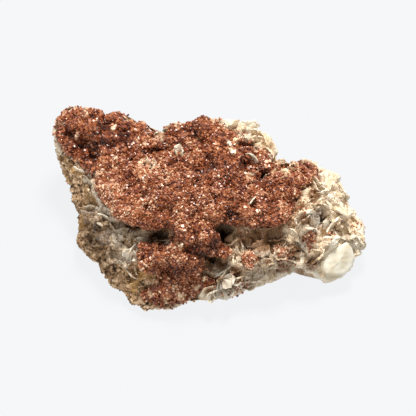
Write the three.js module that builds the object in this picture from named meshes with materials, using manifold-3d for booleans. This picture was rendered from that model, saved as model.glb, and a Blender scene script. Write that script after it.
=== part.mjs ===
// Vanadinite specimen: a hand-sized lump of brown host rock that carries a vein of cream barite blades,
// and on the barite a druse of red-brown vanadinite crystals. Millimetres, +Z up, resting on its flat base.
import * as THREE from 'three';
import { mergeVertices } from 'three/addons/utils/BufferGeometryUtils.js';
import { ImprovedNoise } from 'three/addons/math/ImprovedNoise.js';
import Module from 'manifold-3d';

const wasm = await Module();
wasm.setup();

// Driving dimensions, mm
const MINERAL_GAP = 0.3; // left between one mineral and the next
const CRUST_THICKNESS = 1.9; // druse over the barite, without the standing crystals
const CRYSTAL_RADIUS = [0.9, 1.5]; // across the corners of a vanadinite prism, from the axis
const CRYSTAL_LENGTH = [2.2, 3.4];
const BLADE_THICKNESS = 0.9; // a barite plate
const BLADE_RISE = 16; // degrees that a plate climbs from the bed
const CELL = 3.7; // size of the facets of the bed and of the druse
const DRUSE_ROOT = 1.5; // depth below the bed to which the druse wraps the edge of the lump
const LIP = 1.6; // how far the druse keeps its height past the edge of a ledge
const SIGHT = THREE.MathUtils.degToRad(50); // how far above the table the specimen is looked at

// The unit vectors of that look: across, up the picture, and towards the eye
const ACROSS = new THREE.Vector3(1, 0, 0);
const UP = new THREE.Vector3(0, Math.sin(SIGHT), Math.cos(SIGHT));
const EYE = new THREE.Vector3(0, -Math.cos(SIGHT), Math.sin(SIGHT));

// Widest outline of the lump, clockwise from its top left corner: [across, up, height above the table]
const RIM = [
  [-41.3, 60.6, 24], [-38.5, 59.2, 25], [-35.5, 59.2, 25], [-31.5, 58.3, 25], [-29, 58.6, 25],
  [-26.7, 59.2, 26], [-24.5, 57.6, 26], [-22, 55.8, 25], [-18, 55.2, 24.5], [-14.8, 52.6, 24],
  [-12.5, 54.8, 25], [-10, 55.8, 26], [-6, 54.9, 26], [-3, 56, 27], [-0.5, 57.2, 27.5],
  [2, 56.6, 27], [5, 57, 26.5], [9, 56, 25.5], [14, 55, 24], [17.5, 52.6, 23],
  [19.5, 49.3, 22], [21, 45.8, 21], [24.5, 43.6, 20], [28.7, 44.3, 20], [32, 43, 19],
  [36, 41.8, 18], [39, 40, 17], [41, 36.8, 15], [42.7, 33.4, 13], [43.2, 30, 12],
  [45, 27.6, 11], [46.5, 24.4, 9], [47.2, 20.3, 8], [44.8, 16.5, 6], [43, 13.5, 4.5],
  [40.8, 10.4, 3.2], [36, 9, 2.6], [32, 10.2, 3], [29, 12.3, 3.8], [25.5, 12.9, 4],
  [22.5, 10.8, 3.4], [19, 9.7, 3], [14, 7.4, 2.6], [10, 5.9, 2.3], [5, 4.8, 2.2],
  [0, 2.9, 2], [-4, 2.1, 2], [-8, 2.2, 2], [-10.5, 0.5, 2], [-15, 0.1, 2],
  [-20, 0.6, 2], [-23.5, 2.3, 2.2], [-26, 5, 2.5], [-29, 7.6, 2.8], [-31, 10.2, 3],
  [-35, 14.8, 3.5], [-39, 19.5, 4.2], [-39.6, 25, 5.5], [-40, 31, 8], [-41.3, 36.5, 10.5],
  [-41, 41, 13], [-44.5, 46, 16.5], [-46.4, 50, 19.5], [-46.9, 53, 21], [-45.3, 56.8, 22.5],
  [-43.6, 59.5, 23.5],
];

// Heights of the bed that the druse grows on, and of the bare rock and barite, in the same three measures
const SURVEY = {
  upperLeftKnoll: [[-44, 55, 23], [-41, 58, 25], [-35, 57, 26], [-27, 57, 27.5], [-22, 54, 25.5],
    [-42, 50, 22], [-29, 51, 24.5], [-18, 53, 25], [-15, 50.5, 24]],
  upperLeftHollow: [[-37, 50, 20.5], [-33, 47, 21], [-39, 45.5, 21.5], [-36, 41.8, 21.5], [-34, 38, 21],
    [-29, 44, 22.5], [-23, 48, 24.5], [-17, 43.5, 23.5]],
  backRidge: [[-9, 53, 26], [-4, 50.5, 25], [-1, 55, 28.5], [4, 51, 28.5], [8, 52, 27], [10, 47, 26],
    [-8, 47, 25.5], [-2, 47, 26]],
  mainSlope: [[-13, 41, 26], [-20, 39, 25.5], [-28, 38, 23.5], [-5, 40, 27.5], [3, 40, 28.5], [-25, 33, 23.5],
    [-15, 35, 26], [-5, 33, 27.5], [3, 34, 28], [9, 38, 27]],
  mainLip: [[-27.5, 30, 22.5], [-21, 28.5, 23.5], [-13, 28, 25], [-5, 28.5, 26.5], [1, 29.5, 27],
    [-8, 25, 24.5], [0, 25, 24]],
  rightLobe: [[12, 42, 25], [20, 37, 25], [24, 38, 24.5], [22, 33, 25.5], [17, 30, 25.5], [12, 29, 24.5],
    [17, 27.5, 24], [23, 28.5, 24.5], [12, 34, 25.5], [29, 41, 22], [18, 44, 24.5], [14, 46, 24.5]],
  backCrest: [[13, 53, 24.5], [17, 50, 22.5], [16, 39.5, 21]],
  cavities: [[5.5, 29, 23], [4, 22.5, 18], [-15, 22.5, 18], [-11, 21.8, 18.5], [3, 14, 12.5]],
  middleLedge: [[-5, 20.5, 21], [1, 19, 20], [5, 17, 18]],
  underTheLip: [[-31, 28, 16.5], [-26, 23.5, 15.5], [-23, 20, 14.5], [-18, 20, 16]],
  lowerKnoll: [[-19, 16.5, 13.5], [-13, 17, 16], [-7, 15.5, 15.5], [-4, 12, 11.5], [-12, 12, 11],
    [-18, 11.5, 9.5]],
  foot: [[-10, 9, 8], [-16, 8, 7.5], [-5, 8, 7.5], [1, 9, 8], [-18, 4, 4.5], [-12, 3.8, 5], [-6, 4.5, 4.5],
    [5, 8, 6.5], [10, 9, 7.5], [15, 10, 7.5], [20, 13, 9.5], [26, 15, 9.5]],
  frontSlope: [[0, 13, 11], [6, 13, 11.5], [11, 16, 13.5], [11, 21, 17.5], [15, 22.5, 18], [19, 23.5, 20],
    [18, 18, 15], [22, 21, 17.5], [25, 18, 14.5], [26.5, 23, 19]],
  rightBarite: [[28, 33, 22.5], [32, 35, 21], [27.5, 28, 21.5], [34, 31, 20], [32, 28, 17.5],
    [34.5, 25.5, 19], [37, 34, 18], [41, 31, 14], [38, 27.5, 17.5], [41.5, 26, 14.5], [37, 22.5, 15],
    [41, 22, 13], [45, 22, 10], [43, 18.5, 8.5], [36, 18, 13], [31, 20, 15.5], [38, 14, 9.5], [41, 15, 8.5],
    [34, 13, 8], [30, 15.5, 11]],
  leftWall: [[-44, 50, 20], [-42.5, 45.5, 17], [-39, 42, 18], [-37, 38, 17], [-39, 33, 12.5], [-36, 30, 13.5],
    [-37, 26, 10.5], [-33, 26, 13], [-37, 21, 7.5], [-32, 21, 11], [-27, 19, 12.5], [-33, 16, 7.5],
    [-28, 15, 9.5], [-23, 16, 12], [-28, 11, 6], [-23, 11, 8], [-24, 7, 5], [-20, 8, 6.5], [-21, 4.5, 3.8]],
};
const SURVEY_REACH = 2.3; // how far one height is felt

// Holes in the bed: [across, up, half width, half height, depth along the look]
const CAVITIES = [
  [-14.5, 22.2, 4.1, 1.8, 6], [4, 22.4, 3, 3.3, 8], [5.6, 29.3, 2.2, 1.2, 5], [3.6, 14.6, 3.4, 1, 5],
  [16.4, 39.6, 1.6, 2, 4], [32.5, 28.4, 3.2, 1.1, 4], [-22, 25, 3.2, 1, 4],
];

// The contact of host rock and barite vein: it rises out of the table on a line at the front right, steeply at
// first, and then levels off at the top height. away is the direction from that line towards the back left.
const CONTACT = { top: 17.5, away: [-0.6, 0.8], start: 6, steepness: 11, waviness: 1.1 };

// Lobes of the druse, each with its outline in [across, up]
const DRUSE_LOBES = {
  main: {
    thickness: CRUST_THICKNESS,
    outline: [
      [-41.3, 61], [-38.5, 59.6], [-35.5, 59.6], [-31.5, 58.6], [-26.8, 59.7], [-24.3, 58], [-21.8, 56.2],
      [-18, 55.6], [-15, 52.6], [-12.5, 54.5], [-10, 55.5], [-6, 55], [-3, 56.4], [-0.5, 57.9], [1.8, 56.5],
      [4, 55.2], [6.5, 53.2], [9.5, 51.4], [12.5, 49.6], [15.5, 47.2], [19, 44.8], [21.3, 43], [25, 42.4],
      [27, 44], [29, 44.7], [32.3, 43], [33, 40.5], [30, 38], [27, 37.3], [27.5, 34.5], [25.5, 32],
      [25, 28.4], [23.4, 26], [19.5, 26], [15.5, 25.2], [11, 25.6], [7.5, 25.6], [4.5, 26.6], [1.5, 25.2],
      [-1.5, 24], [-5, 23.4], [-9, 23.6], [-12.5, 24.6], [-17, 25], [-20.5, 25.6], [-24, 26.6],
      [-27.5, 28.6], [-30.5, 31.6], [-33.5, 35.6], [-33.8, 38.5], [-33.8, 41], [-37, 42.6], [-40.4, 45],
      [-43, 49], [-45.6, 53], [-45.2, 57.4], [-43.6, 59.8],
    ],
  },
  middleLedge: {
    thickness: 2.6,
    outline: [[-9.5, 24.2], [-5, 25.5], [-0.5, 25.5], [1.2, 23.4], [3.4, 21], [6.2, 18.4], [6.6, 16.4],
      [3.6, 16], [0, 16.6], [-4, 17.6], [-7.5, 19.2], [-10.4, 21]],
  },
  lowerKnoll: {
    thickness: 2.6,
    outline: [[-20, 18.6], [-16.5, 19.8], [-12, 19.4], [-8, 19.4], [-4, 18.6], [-1.4, 15.4], [-1.4, 12.6],
      [-4, 9.6], [-8, 9.8], [-12, 10.8], [-16, 11.2], [-19.6, 12.4], [-20.8, 15.5]],
  },
  foot: {
    thickness: 1.9,
    outline: [[-14.5, 11.4], [-9.5, 11], [-4, 11], [1, 10], [2.2, 8], [-2, 6.6], [-5, 3.6], [-9, 2],
      [-14, 1.7], [-19, 3], [-20.2, 5], [-15.6, 6.4], [-15.4, 8.8]],
  },
  frontTuft: {
    thickness: 1.6,
    outline: [[9.6, 16.4], [12.2, 17.2], [14.4, 15.8], [14, 13.4], [11.2, 12.6], [9.8, 14]],
  },
  lowerRightTuft: {
    thickness: 1.5,
    outline: [[19.8, 17.2], [22.8, 18.6], [26.2, 18], [26.4, 15.9], [23.2, 15], [20.2, 15.4]],
  },
  rightTuft: {
    thickness: 1.5,
    outline: [[28.8, 24.6], [31.2, 25.4], [32.2, 23], [31.4, 19.6], [30.2, 17.6], [29, 20.4]],
  },
};
const CRYSTALS_PER_LOBE = { main: 31, middleLedge: 3, lowerKnoll: 5, foot: 3, frontTuft: 2,
  lowerRightTuft: 2, rightTuft: 2 };

// Gaps in the druse where the pale bed shows: [across, up, half width, half height, lean in degrees]
const BARE_PATCHES = [
  [-17.4, 43.4, 1.9, 1.3, 30], [-8.2, 47.6, 1.1, 2.4, -20], [13.6, 46.3, 1.2, 2.4, 45],
  [16.4, 39.6, 1.7, 2.2, 0],
];

// Fans of barite plates: [across, up, plates, length, width, direction of the fan, spread, tilt], degrees
const BARITE_FANS = [
  [-31, 29.5, 2, 7.5, 5.5, 225, 45, 50], [-27, 24.5, 2, 8, 6, 240, 50, 45], [-22.5, 18, 3, 8, 6, 205, 70, 40],
  [1.5, 10, 2, 8, 6, 285, 60, 45], [6.5, 13, 3, 8.5, 6.5, 305, 80, 40], [10.5, 20.5, 2, 8, 6, 270, 40, 45],
  [16, 14, 2, 7, 6, 290, 60, 45], [19.5, 21, 3, 9, 6.5, 250, 80, 45], [26, 27.5, 2, 8, 6, 330, 60, 45],
  [31.5, 33, 3, 8.5, 6.5, 310, 80, 45], [36, 29, 2, 8, 6.5, 285, 60, 50], [36, 22, 2, 8, 6.5, 190, 50, 45],
  [9.5, 51, 2, 5.5, 4.5, 40, 70, 40], [31, 18, 2, 6.5, 6, 250, 60, 45],
];
const BIG_PLATE = { middle: [38.6, 14.2], length: 9.5, width: 7, thickness: 1.6, lean: 18, turn: 25 };

// A random number source that gives the same numbers each time
function seeded(seed) {
  let state = seed;
  return () => {
    state = (state + 0x6d2b79f5) | 0;
    let t = Math.imul(state ^ (state >>> 15), 1 | state);
    t = (t + Math.imul(t ^ (t >>> 7), 61 | t)) ^ t;
    return ((t ^ (t >>> 14)) >>> 0) / 4294967296;
  };
}
const between = (random, [low, high]) => low + (high - low) * random();

const perlin = new ImprovedNoise();
// Angular lumps: the folds of a noise, from -1 to 1, with features about size across
function lumps(point, size, offset = 0) {
  const wave = perlin.noise(point.x / size + offset, point.y / size + 3.7, point.z / size - offset);
  return 1 - 2.6 * Math.abs(wave);
}

const heights = [...RIM, ...Object.values(SURVEY).flat()];

// Height of the bed where the look meets it, the average of the heights nearby
function bedHeight(across, up) {
  let sum = 0;
  let weight = 0;
  for (const [a, u, height] of heights) {
    const near = Math.exp(-((across - a) ** 2 + (up - u) ** 2) / (2 * SURVEY_REACH ** 2)) + 1e-12;
    sum += near * height;
    weight += near;
  }
  return sum / weight;
}

// The point that is seen at [across, up] and stands at a height
function seenAt(across, up, height) {
  return new THREE.Vector3(across, (up - height * Math.cos(SIGHT)) / Math.sin(SIGHT), height);
}

// A closed skin over rings that have the same number of points, with a single point at each end
function closedSkin(first, rings, last) {
  const columns = rings[0].length;
  const points = [first, ...rings.flat(), last];
  const faces = [];
  const at = (ring, column) => 1 + ring * columns + (column % columns);
  for (let c = 0; c < columns; c++) {
    faces.push(0, at(0, c + 1), at(0, c));
    for (let r = 0; r + 1 < rings.length; r++) {
      faces.push(at(r, c), at(r, c + 1), at(r + 1, c), at(r, c + 1), at(r + 1, c + 1), at(r + 1, c));
    }
    faces.push(points.length - 1, at(rings.length - 1, c), at(rings.length - 1, c + 1));
  }
  return new THREE.BufferGeometry().setFromPoints(points).setIndex(faces);
}

// A block between two sheets of points, given by their share across and up a grid of cells
function gridBlock(columns, rows, frontAt, backAt) {
  const sheet = new THREE.PlaneGeometry(1, 1, columns, rows).translate(0.5, 0.5, 0);
  const count = sheet.attributes.position.count;
  const spots = Array.from({ length: count }, (_, i) => [sheet.attributes.position.getX(i),
    sheet.attributes.position.getY(i)]);
  const points = [...spots.map(([x, y]) => frontAt(x, y)), ...spots.map(([x, y]) => backAt(x, y))];
  const faces = [...sheet.index.array];
  for (let i = 0; i < sheet.index.count; i += 3) {
    const [p, q, r] = [0, 1, 2].map((k) => sheet.index.array[i + k] + count);
    faces.push(p, r, q);
  }
  const row = columns + 1;
  const side = (i, j) => faces.push(i, i + count, j, j, i + count, j + count);
  for (let k = 0; k < columns; k++) {
    side(k + 1, k);
    side(rows * row + k, rows * row + k + 1);
  }
  for (let k = 0; k < rows; k++) {
    side(k * row, (k + 1) * row);
    side((k + 1) * row + columns, k * row + columns);
  }
  return solid(new THREE.BufferGeometry().setFromPoints(points).setIndex(faces));
}

function solid(geometry) {
  const bare = geometry.clone();
  bare.deleteAttribute('normal');
  bare.deleteAttribute('uv');
  const merged = mergeVertices(bare, 2e-3);
  const vertProperties = new Float32Array(merged.attributes.position.array);
  const made = new wasm.Manifold(
    new wasm.Mesh({ numProp: 3, vertProperties, triVerts: new Uint32Array(merged.index.array) }),
  );
  if (made.volume() > 0) return made;
  const turned = merged.index.array.slice().reverse();
  return new wasm.Manifold(new wasm.Mesh({ numProp: 3, vertProperties, triVerts: new Uint32Array(turned) }));
}

const union = (solids) => wasm.Manifold.union(solids);

// A slab over the whole view between two faceted sheets, each given by its point for a place in the view.
// The places are shaken off their even grid, alike for both sheets.
const VIEW = { across: [-52, 52], up: [-6, 66] };
function slab(frontAt, backAt) {
  const [width, height] = [VIEW.across[1] - VIEW.across[0], VIEW.up[1] - VIEW.up[0]];
  const shaken = (x, y) => {
    const [across, up] = [VIEW.across[0] + width * x, VIEW.up[0] + height * y];
    const shake = (offset) => 0.75 * CELL * perlin.noise(across / 1.7 + offset, up / 1.7, offset);
    return [across + shake(0.5), up + shake(7.5)];
  };
  const [columns, rows] = [Math.round(width / CELL), Math.round(height / CELL)];
  return gridBlock(columns, rows, (x, y) => frontAt(...shaken(x, y)), (x, y) => backAt(...shaken(x, y)));
}

// The bed: folds and lumps on the surveyed heights
function bedFace(across, up) {
  const point = seenAt(across, up, bedHeight(across, up));
  return point.addScaledVector(EYE, 0.75 * lumps(point, 5.5) + 0.4 * lumps(point, 2.6, 9));
}
const BEHIND_ALL = -75; // along the look
function farBehind(across, up) {
  const inView = new THREE.Vector3().addScaledVector(ACROSS, across).addScaledVector(UP, up);
  return inView.addScaledVector(EYE, BEHIND_ALL);
}

// The outside of the lump: open in front of the bed, then the rim, and a broken wall down to the flat base
const LUMP_MIDDLE = [-3, 32];
const WALL = [[0.965, 0.74], [0.935, 0.42], [0.88, 0.12], [0.85, 0]]; // [size against the rim, height]
const WALL_ROUGHNESS = 1.1;
const RIM_DEPTH = 1.2; // the rim lies this far behind the surveyed heights
const COLLAR_SIZE = 0.9; // the collar in front of the bed, against the rim, and how far in front it is
const COLLAR_HEIGHT = 12;
function outside(swell) {
  const behind = (a, u, depth) => seenAt(a, u, bedHeight(a, u)).addScaledVector(EYE, -depth);
  const collar = RIM.map(([a, u]) => {
    const [across, up] = [a, u].map((value, k) => THREE.MathUtils.lerp(LUMP_MIDDLE[k], value, COLLAR_SIZE));
    return behind(across, up, -COLLAR_HEIGHT);
  });
  const rim = RIM.map(([a, u]) => behind(a, u, RIM_DEPTH));
  const centre = rim.reduce((sum, p) => sum.add(p), new THREE.Vector3()).divideScalar(rim.length).setZ(0);
  const outwards = (p) => new THREE.Vector3(p.x - centre.x, p.y - centre.y, 0);
  const wall = WALL.map(([size, height]) => rim.map((p) => {
    const level = new THREE.Vector3(p.x, p.y, p.z * height);
    const rough = height > 0 ? WALL_ROUGHNESS * lumps(level, 8, 4) : 0;
    const out = outwards(p);
    return out.setLength(out.length() * size + rough + swell).add(centre).setZ(level.z - swell);
  }));
  const edge = rim.map((p) => p.clone().add(outwards(p).setLength(swell)));
  const top = behind(...LUMP_MIDDLE, -2 * COLLAR_HEIGHT);
  return solid(closedSkin(top, [collar, edge, ...wall], centre.clone().setZ(-swell)));
}

// The whole lump without its druse. swell makes it larger on every side.
function lump(swell = 0) {
  return slab((a, u) => bedFace(a, u).addScaledVector(EYE, 1.5 * swell), farBehind).intersect(outside(swell));
}

// A round-ended hole dug along the look
function cavity([across, up, halfWidth, halfHeight, depth]) {
  const mouth = seenAt(across, up, bedHeight(across, up));
  const hole = new THREE.IcosahedronGeometry(1.1, 0).scale(halfWidth, halfHeight, depth);
  hole.rotateX(Math.PI / 2 - SIGHT).translate(mouth.x, mouth.y, mouth.z);
  return solid(hole);
}

// Everything below the contact of rock and vein, raised by lift
function belowContact(lift = 0) {
  const [width, depth] = [130, 110];
  const place = (x, y) => [width * (x - 0.5), depth * (y - 0.25)];
  const contact = (x, y) => {
    const [along, back] = place(x, y);
    const wave = CONTACT.waviness * perlin.noise(along / 9, back / 9, 2.5);
    const behind = CONTACT.away[0] * along + CONTACT.away[1] * back - CONTACT.start;
    const level = CONTACT.top * (1 - Math.exp(-behind / CONTACT.steepness)) + wave;
    return new THREE.Vector3(along, back, Math.max(level, -3) + lift);
  };
  return gridBlock(15, 13, contact, (x, y) => new THREE.Vector3(...place(x, y), -20));
}

// A lobe's outline as a closed line of short uneven steps, moved outwards by swell
const OUTLINE_STEP = 3.4;
function outlineOf(lobe, swell) {
  const corners = lobe.outline.map(([a, u]) => new THREE.Vector3(a, u, 0));
  const curve = new THREE.CatmullRomCurve3(corners, true, 'catmullrom', 0.4);
  const steps = Math.round(curve.getLength() / OUTLINE_STEP);
  return Array.from({ length: steps }, (_, k) => {
    const point = curve.getPointAt(k / steps);
    const along = curve.getTangentAt(k / steps);
    const out = new THREE.Vector3(-along.y, along.x, 0);
    const uneven = 0.5 * perlin.noise(point.x / 1.3, point.y / 1.3, 8.5);
    return new THREE.Vector2(point.x + out.x * (swell + uneven), point.y + out.y * (swell + uneven));
  });
}

// Everything in sight within a lobe's outline
function sightColumn(lobe, swell) {
  const outline = new THREE.Shape(outlineOf(lobe, swell));
  const column = new THREE.ExtrudeGeometry(outline, { depth: -2 * BEHIND_ALL, bevelEnabled: false });
  return solid(column.translate(0, 0, BEHIND_ALL).rotateX(Math.PI / 2 - SIGHT));
}

// How far a place in the view lies inside a lobe's outline, negative outside it
function depthInside(lobe, across, up) {
  let nearest = Infinity;
  let inside = false;
  lobe.outline.forEach(([a, u], k) => {
    const [b, v] = lobe.outline[(k + 1) % lobe.outline.length];
    const [da, du] = [b - a, v - u];
    const share = THREE.MathUtils.clamp(((across - a) * da + (up - u) * du) / (da ** 2 + du ** 2), 0, 1);
    nearest = Math.min(nearest, Math.hypot(across - a - share * da, up - u - share * du));
    if (u > up !== v > up && across < a + ((b - a) * (up - u)) / (v - u)) inside = !inside;
  });
  return inside ? nearest : -nearest;
}

// The druse's outer face: it thins towards the edge of a lobe, and keeps its height a little past a ledge
function druseFace(across, up) {
  const around = [[0, 0], [1, 0], [-1, 0], [0, 1], [0, -1], [0.7, 0.7], [-0.7, 0.7]];
  const height = Math.max(...around.map(([da, du]) => bedHeight(across + LIP * da, up + LIP * du)));
  let thickness = 0;
  for (const lobe of Object.values(DRUSE_LOBES)) {
    const fullness = THREE.MathUtils.clamp(0.45 + depthInside(lobe, across, up) / 4.5, 0.2, 1);
    thickness = Math.max(thickness, lobe.thickness * fullness);
  }
  const point = seenAt(across, up, height);
  const rough = 0.8 * lumps(point, 4.2, 21) + 0.4 * lumps(point, 1.9, 5);
  return point.addScaledVector(EYE, thickness + rough * Math.min(thickness / CRUST_THICKNESS, 1));
}

// A six-sided prism with flat ends, standing on the druse
function crystal({ place, axis, radius, length, spin }, swell) {
  const corners = Array.from({ length: 6 }, (_, k) => {
    const angle = spin + (k * Math.PI) / 3;
    return new THREE.Vector2(Math.cos(angle), Math.sin(angle)).multiplyScalar(radius + 1.2 * swell);
  });
  const depth = length + 2 * swell;
  const prism = new THREE.ExtrudeGeometry(new THREE.Shape(corners), { depth, bevelEnabled: false });
  const stand = new THREE.Quaternion().setFromUnitVectors(new THREE.Vector3(0, 0, 1), axis);
  const foot = place.clone().addScaledVector(axis, -0.62 * length - swell);
  return solid(prism.applyQuaternion(stand).translate(foot.x, foot.y, foot.z));
}

function crystalsOn(lobe, count, random) {
  const sown = [];
  const area = new THREE.Box2().setFromPoints(lobe.outline.map(([a, u]) => new THREE.Vector2(a, u)));
  while (sown.length < count) {
    const across = between(random, [area.min.x, area.max.x]);
    const up = between(random, [area.min.y, area.max.y]);
    if (depthInside(lobe, across, up) < 0.3) continue;
    const place = druseFace(across, up);
    const sideways = druseFace(across + 0.8, up).sub(place);
    const upwards = druseFace(across, up + 0.8).sub(place);
    const axis = sideways.cross(upwards).normalize().addScaledVector(EYE, 0.5);
    for (const key of ['x', 'y', 'z']) axis[key] += 1.1 * (random() - 0.5);
    const radius = between(random, CRYSTAL_RADIUS);
    const length = between(random, CRYSTAL_LENGTH);
    sown.push({ place, axis: axis.normalize(), radius, length, spin: random() * Math.PI });
  }
  return sown;
}

// A gap in the druse: a leaning oval hole right through it
function barePatch([across, up, halfWidth, halfHeight, lean]) {
  const place = seenAt(across, up, bedHeight(across, up));
  const hole = new THREE.CylinderGeometry(1.05, 1.05, 12, 6).rotateX(Math.PI / 2);
  hole.scale(halfWidth, halfHeight, 1).rotateZ(THREE.MathUtils.degToRad(-lean)).rotateX(Math.PI / 2 - SIGHT);
  return solid(hole.translate(place.x, place.y, place.z));
}

// A five-cornered barite plate, longer than it is wide, lying in its own XY plane with one end at the origin
function plate(length, width, thickness) {
  const corners = [[-0.2, -0.3], [0.8, -0.5], [1, 0.1], [0.65, 0.5], [-0.2, 0.34]];
  const outline = new THREE.Shape(corners.map(([x, y]) => new THREE.Vector2(x * length, y * width)));
  const made = new THREE.ExtrudeGeometry(outline, { depth: thickness, bevelEnabled: false });
  return made.translate(0, 0, -thickness / 2);
}

// Plates that spread from one root like the pages of an open book
function bariteFan([across, up, plates, length, width, direction, spread, tilt], random) {
  const root = seenAt(across, up, bedHeight(across, up)).addScaledVector(EYE, -0.4);
  return Array.from({ length: plates }, (_, k) => {
    const size = 0.75 + 0.4 * random();
    const page = plate(length * size, width * size, BLADE_THICKNESS * (0.8 + 0.5 * random()));
    page.rotateX(THREE.MathUtils.degToRad(90 - tilt * (0.7 + 0.6 * random())));
    page.rotateY(THREE.MathUtils.degToRad(-BLADE_RISE * (0.6 + 0.8 * random())));
    const bearing = direction + spread * (k / (plates - 1) - 0.5) + 8 * (random() - 0.5);
    page.rotateZ(THREE.MathUtils.degToRad(bearing)).rotateX(Math.PI / 2 - SIGHT);
    return solid(page.translate(root.x, root.y, root.z));
  });
}

function bigPlate({ middle, length, width, thickness, lean, turn }) {
  const made = plate(length, width, thickness).translate(-length * 0.42, 0, 0);
  made.rotateX(THREE.MathUtils.degToRad(lean)).rotateZ(THREE.MathUtils.degToRad(turn));
  const place = seenAt(...middle, bedHeight(...middle)).addScaledVector(EYE, 0.3);
  return solid(made.rotateX(Math.PI / 2 - SIGHT).translate(place.x, place.y, place.z));
}

// Each mineral as one solid, cut clear of the one under it
const random = seeded(11);
const table = solid(new THREE.BoxGeometry(200, 200, 40).translate(0, 0, -20));
const dug = union(CAVITIES.map(cavity));
const bed = lump().subtract(dug);
const hostRock = bed.intersect(belowContact());
const fans = BARITE_FANS.flatMap((fan) => bariteFan(fan, random));
const vein = bed.subtract(belowContact(MINERAL_GAP));
const keepOffRock = belowContact(MINERAL_GAP).intersect(lump(MINERAL_GAP));
const druseClear = lump(MINERAL_GAP);
const gaps = union(BARE_PATCHES.map(barePatch));

const crystals = Object.fromEntries(Object.entries(DRUSE_LOBES).map(
  ([name, lobe]) => [name, crystalsOn(lobe, CRYSTALS_PER_LOBE[name], random)],
));
function druse(names, swell = 0) {
  const columns = union(names.map((name) => sightColumn(DRUSE_LOBES[name], swell)));
  const layer = slab((a, u) => druseFace(a, u).addScaledVector(EYE, 1.5 * swell),
    (a, u) => bedFace(a, u).addScaledVector(EYE, -DRUSE_ROOT)).intersect(columns);
  const standing = names.flatMap((name) => crystals[name].map((one) => crystal(one, swell)));
  return union([layer, ...standing]).subtract(gaps);
}
const DRUSE_NODES = {
  vanadinite_druse: ['main', 'middleLedge', 'lowerKnoll', 'foot'],
  vanadinite_front_tuft: ['frontTuft'],
  vanadinite_lower_right_tuft: ['lowerRightTuft'],
  vanadinite_right_tuft: ['rightTuft'],
};

const blades = union([...fans, bigPlate(BIG_PLATE)]).subtract(druse(Object.keys(DRUSE_LOBES), MINERAL_GAP));
const barite = union([vein, blades.subtract(keepOffRock)]).subtract(table);

const COLOURS = {
  host_rock: { color: 0x8a6f4d, roughness: 0.9 },
  barite_vein: { color: 0xe2d6bd, roughness: 0.6 },
  vanadinite: { color: 0x7d3a22, roughness: 0.3 },
};

function geometryOf(made) {
  const raw = made.getMesh();
  const geometry = new THREE.BufferGeometry();
  geometry.setAttribute('position', new THREE.BufferAttribute(raw.vertProperties, 3));
  return geometry.setIndex(new THREE.BufferAttribute(raw.triVerts, 1));
}

// The largest body of a solid: crumbs that a cut leaves are dropped
function largest(made) {
  return made.decompose().sort((a, b) => b.volume() - a.volume())[0];
}

function mesh(name, made, finish) {
  const geometry = geometryOf(largest(solid(geometryOf(largest(made)))));
  const material = new THREE.MeshStandardMaterial({ ...finish, metalness: 0, flatShading: true });
  const node = new THREE.Mesh(geometry, material);
  node.name = name;
  return node;
}

const specimen = new THREE.Group();
specimen.name = 'vanadinite_specimen';
specimen.add(mesh('host_rock', hostRock, COLOURS.host_rock));
specimen.add(mesh('barite_vein', barite, COLOURS.barite_vein));
for (const [name, lobes] of Object.entries(DRUSE_NODES)) {
  specimen.add(mesh(name, druse(lobes).subtract(druseClear).subtract(table), COLOURS.vanadinite));
}

// The origin is under the middle of the specimen, on the table
const bounds = new THREE.Box3().setFromObject(specimen, true);
const middle = bounds.getCenter(new THREE.Vector3());
specimen.position.set(-middle.x, -middle.y, -bounds.min.z);

export default specimen;
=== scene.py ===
import math
import random

import bmesh
import bpy
from mathutils import Matrix, Vector, noise
from mathutils.bvhtree import BVHTree


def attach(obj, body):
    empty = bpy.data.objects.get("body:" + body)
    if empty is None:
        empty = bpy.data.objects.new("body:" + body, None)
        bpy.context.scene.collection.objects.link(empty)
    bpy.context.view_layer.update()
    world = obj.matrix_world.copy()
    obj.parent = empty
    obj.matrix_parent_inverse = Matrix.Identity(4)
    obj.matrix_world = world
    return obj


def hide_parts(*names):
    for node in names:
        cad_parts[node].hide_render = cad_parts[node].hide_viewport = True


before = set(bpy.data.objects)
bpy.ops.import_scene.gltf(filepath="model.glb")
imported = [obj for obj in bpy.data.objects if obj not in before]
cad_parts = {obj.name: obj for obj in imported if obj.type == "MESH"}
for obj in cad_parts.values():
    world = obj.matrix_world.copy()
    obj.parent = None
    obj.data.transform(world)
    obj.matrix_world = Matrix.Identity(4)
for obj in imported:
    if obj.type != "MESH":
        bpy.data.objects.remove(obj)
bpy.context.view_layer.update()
MM = 0.001  # a size without it is in mm until it is used

# Camera. It stands in front of the specimen and looks 50 degrees down through a long lens, so that the
# frame is 125 mm wide. Places on the specimen are given as seen from it: mm across and mm up from a
# point of the table under the middle of the front edge.
LOOK_DOWN = math.radians(50)
FRAME_WIDTH = 124.8 * MM
FRAME_MIDDLE = (-0.1, 30.6)
CAMERA_DISTANCE = 3.0
ACROSS = Vector((1, 0, 0))
UP = Vector((0, math.sin(LOOK_DOWN), math.cos(LOOK_DOWN)))
TOWARDS_EYE = Vector((0, -math.cos(LOOK_DOWN), math.sin(LOOK_DOWN)))
VIEW_ZERO = Vector((-0.2, -28.9, 0)) * MM


def in_view(across, up):
    """The point with that place in the view, level with VIEW_ZERO along the look."""
    return VIEW_ZERO + (ACROSS * across + UP * up) * MM


def seen_place(point):
    """A point's place in the view: mm across and mm up."""
    from_zero = (point - VIEW_ZERO) / MM
    return from_zero.dot(ACROSS), from_zero.dot(UP)


def placed(name, data):
    """A new object of the scene, at the origin."""
    made = bpy.data.objects.new(name, data)
    bpy.context.scene.collection.objects.link(made)
    return made


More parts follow.
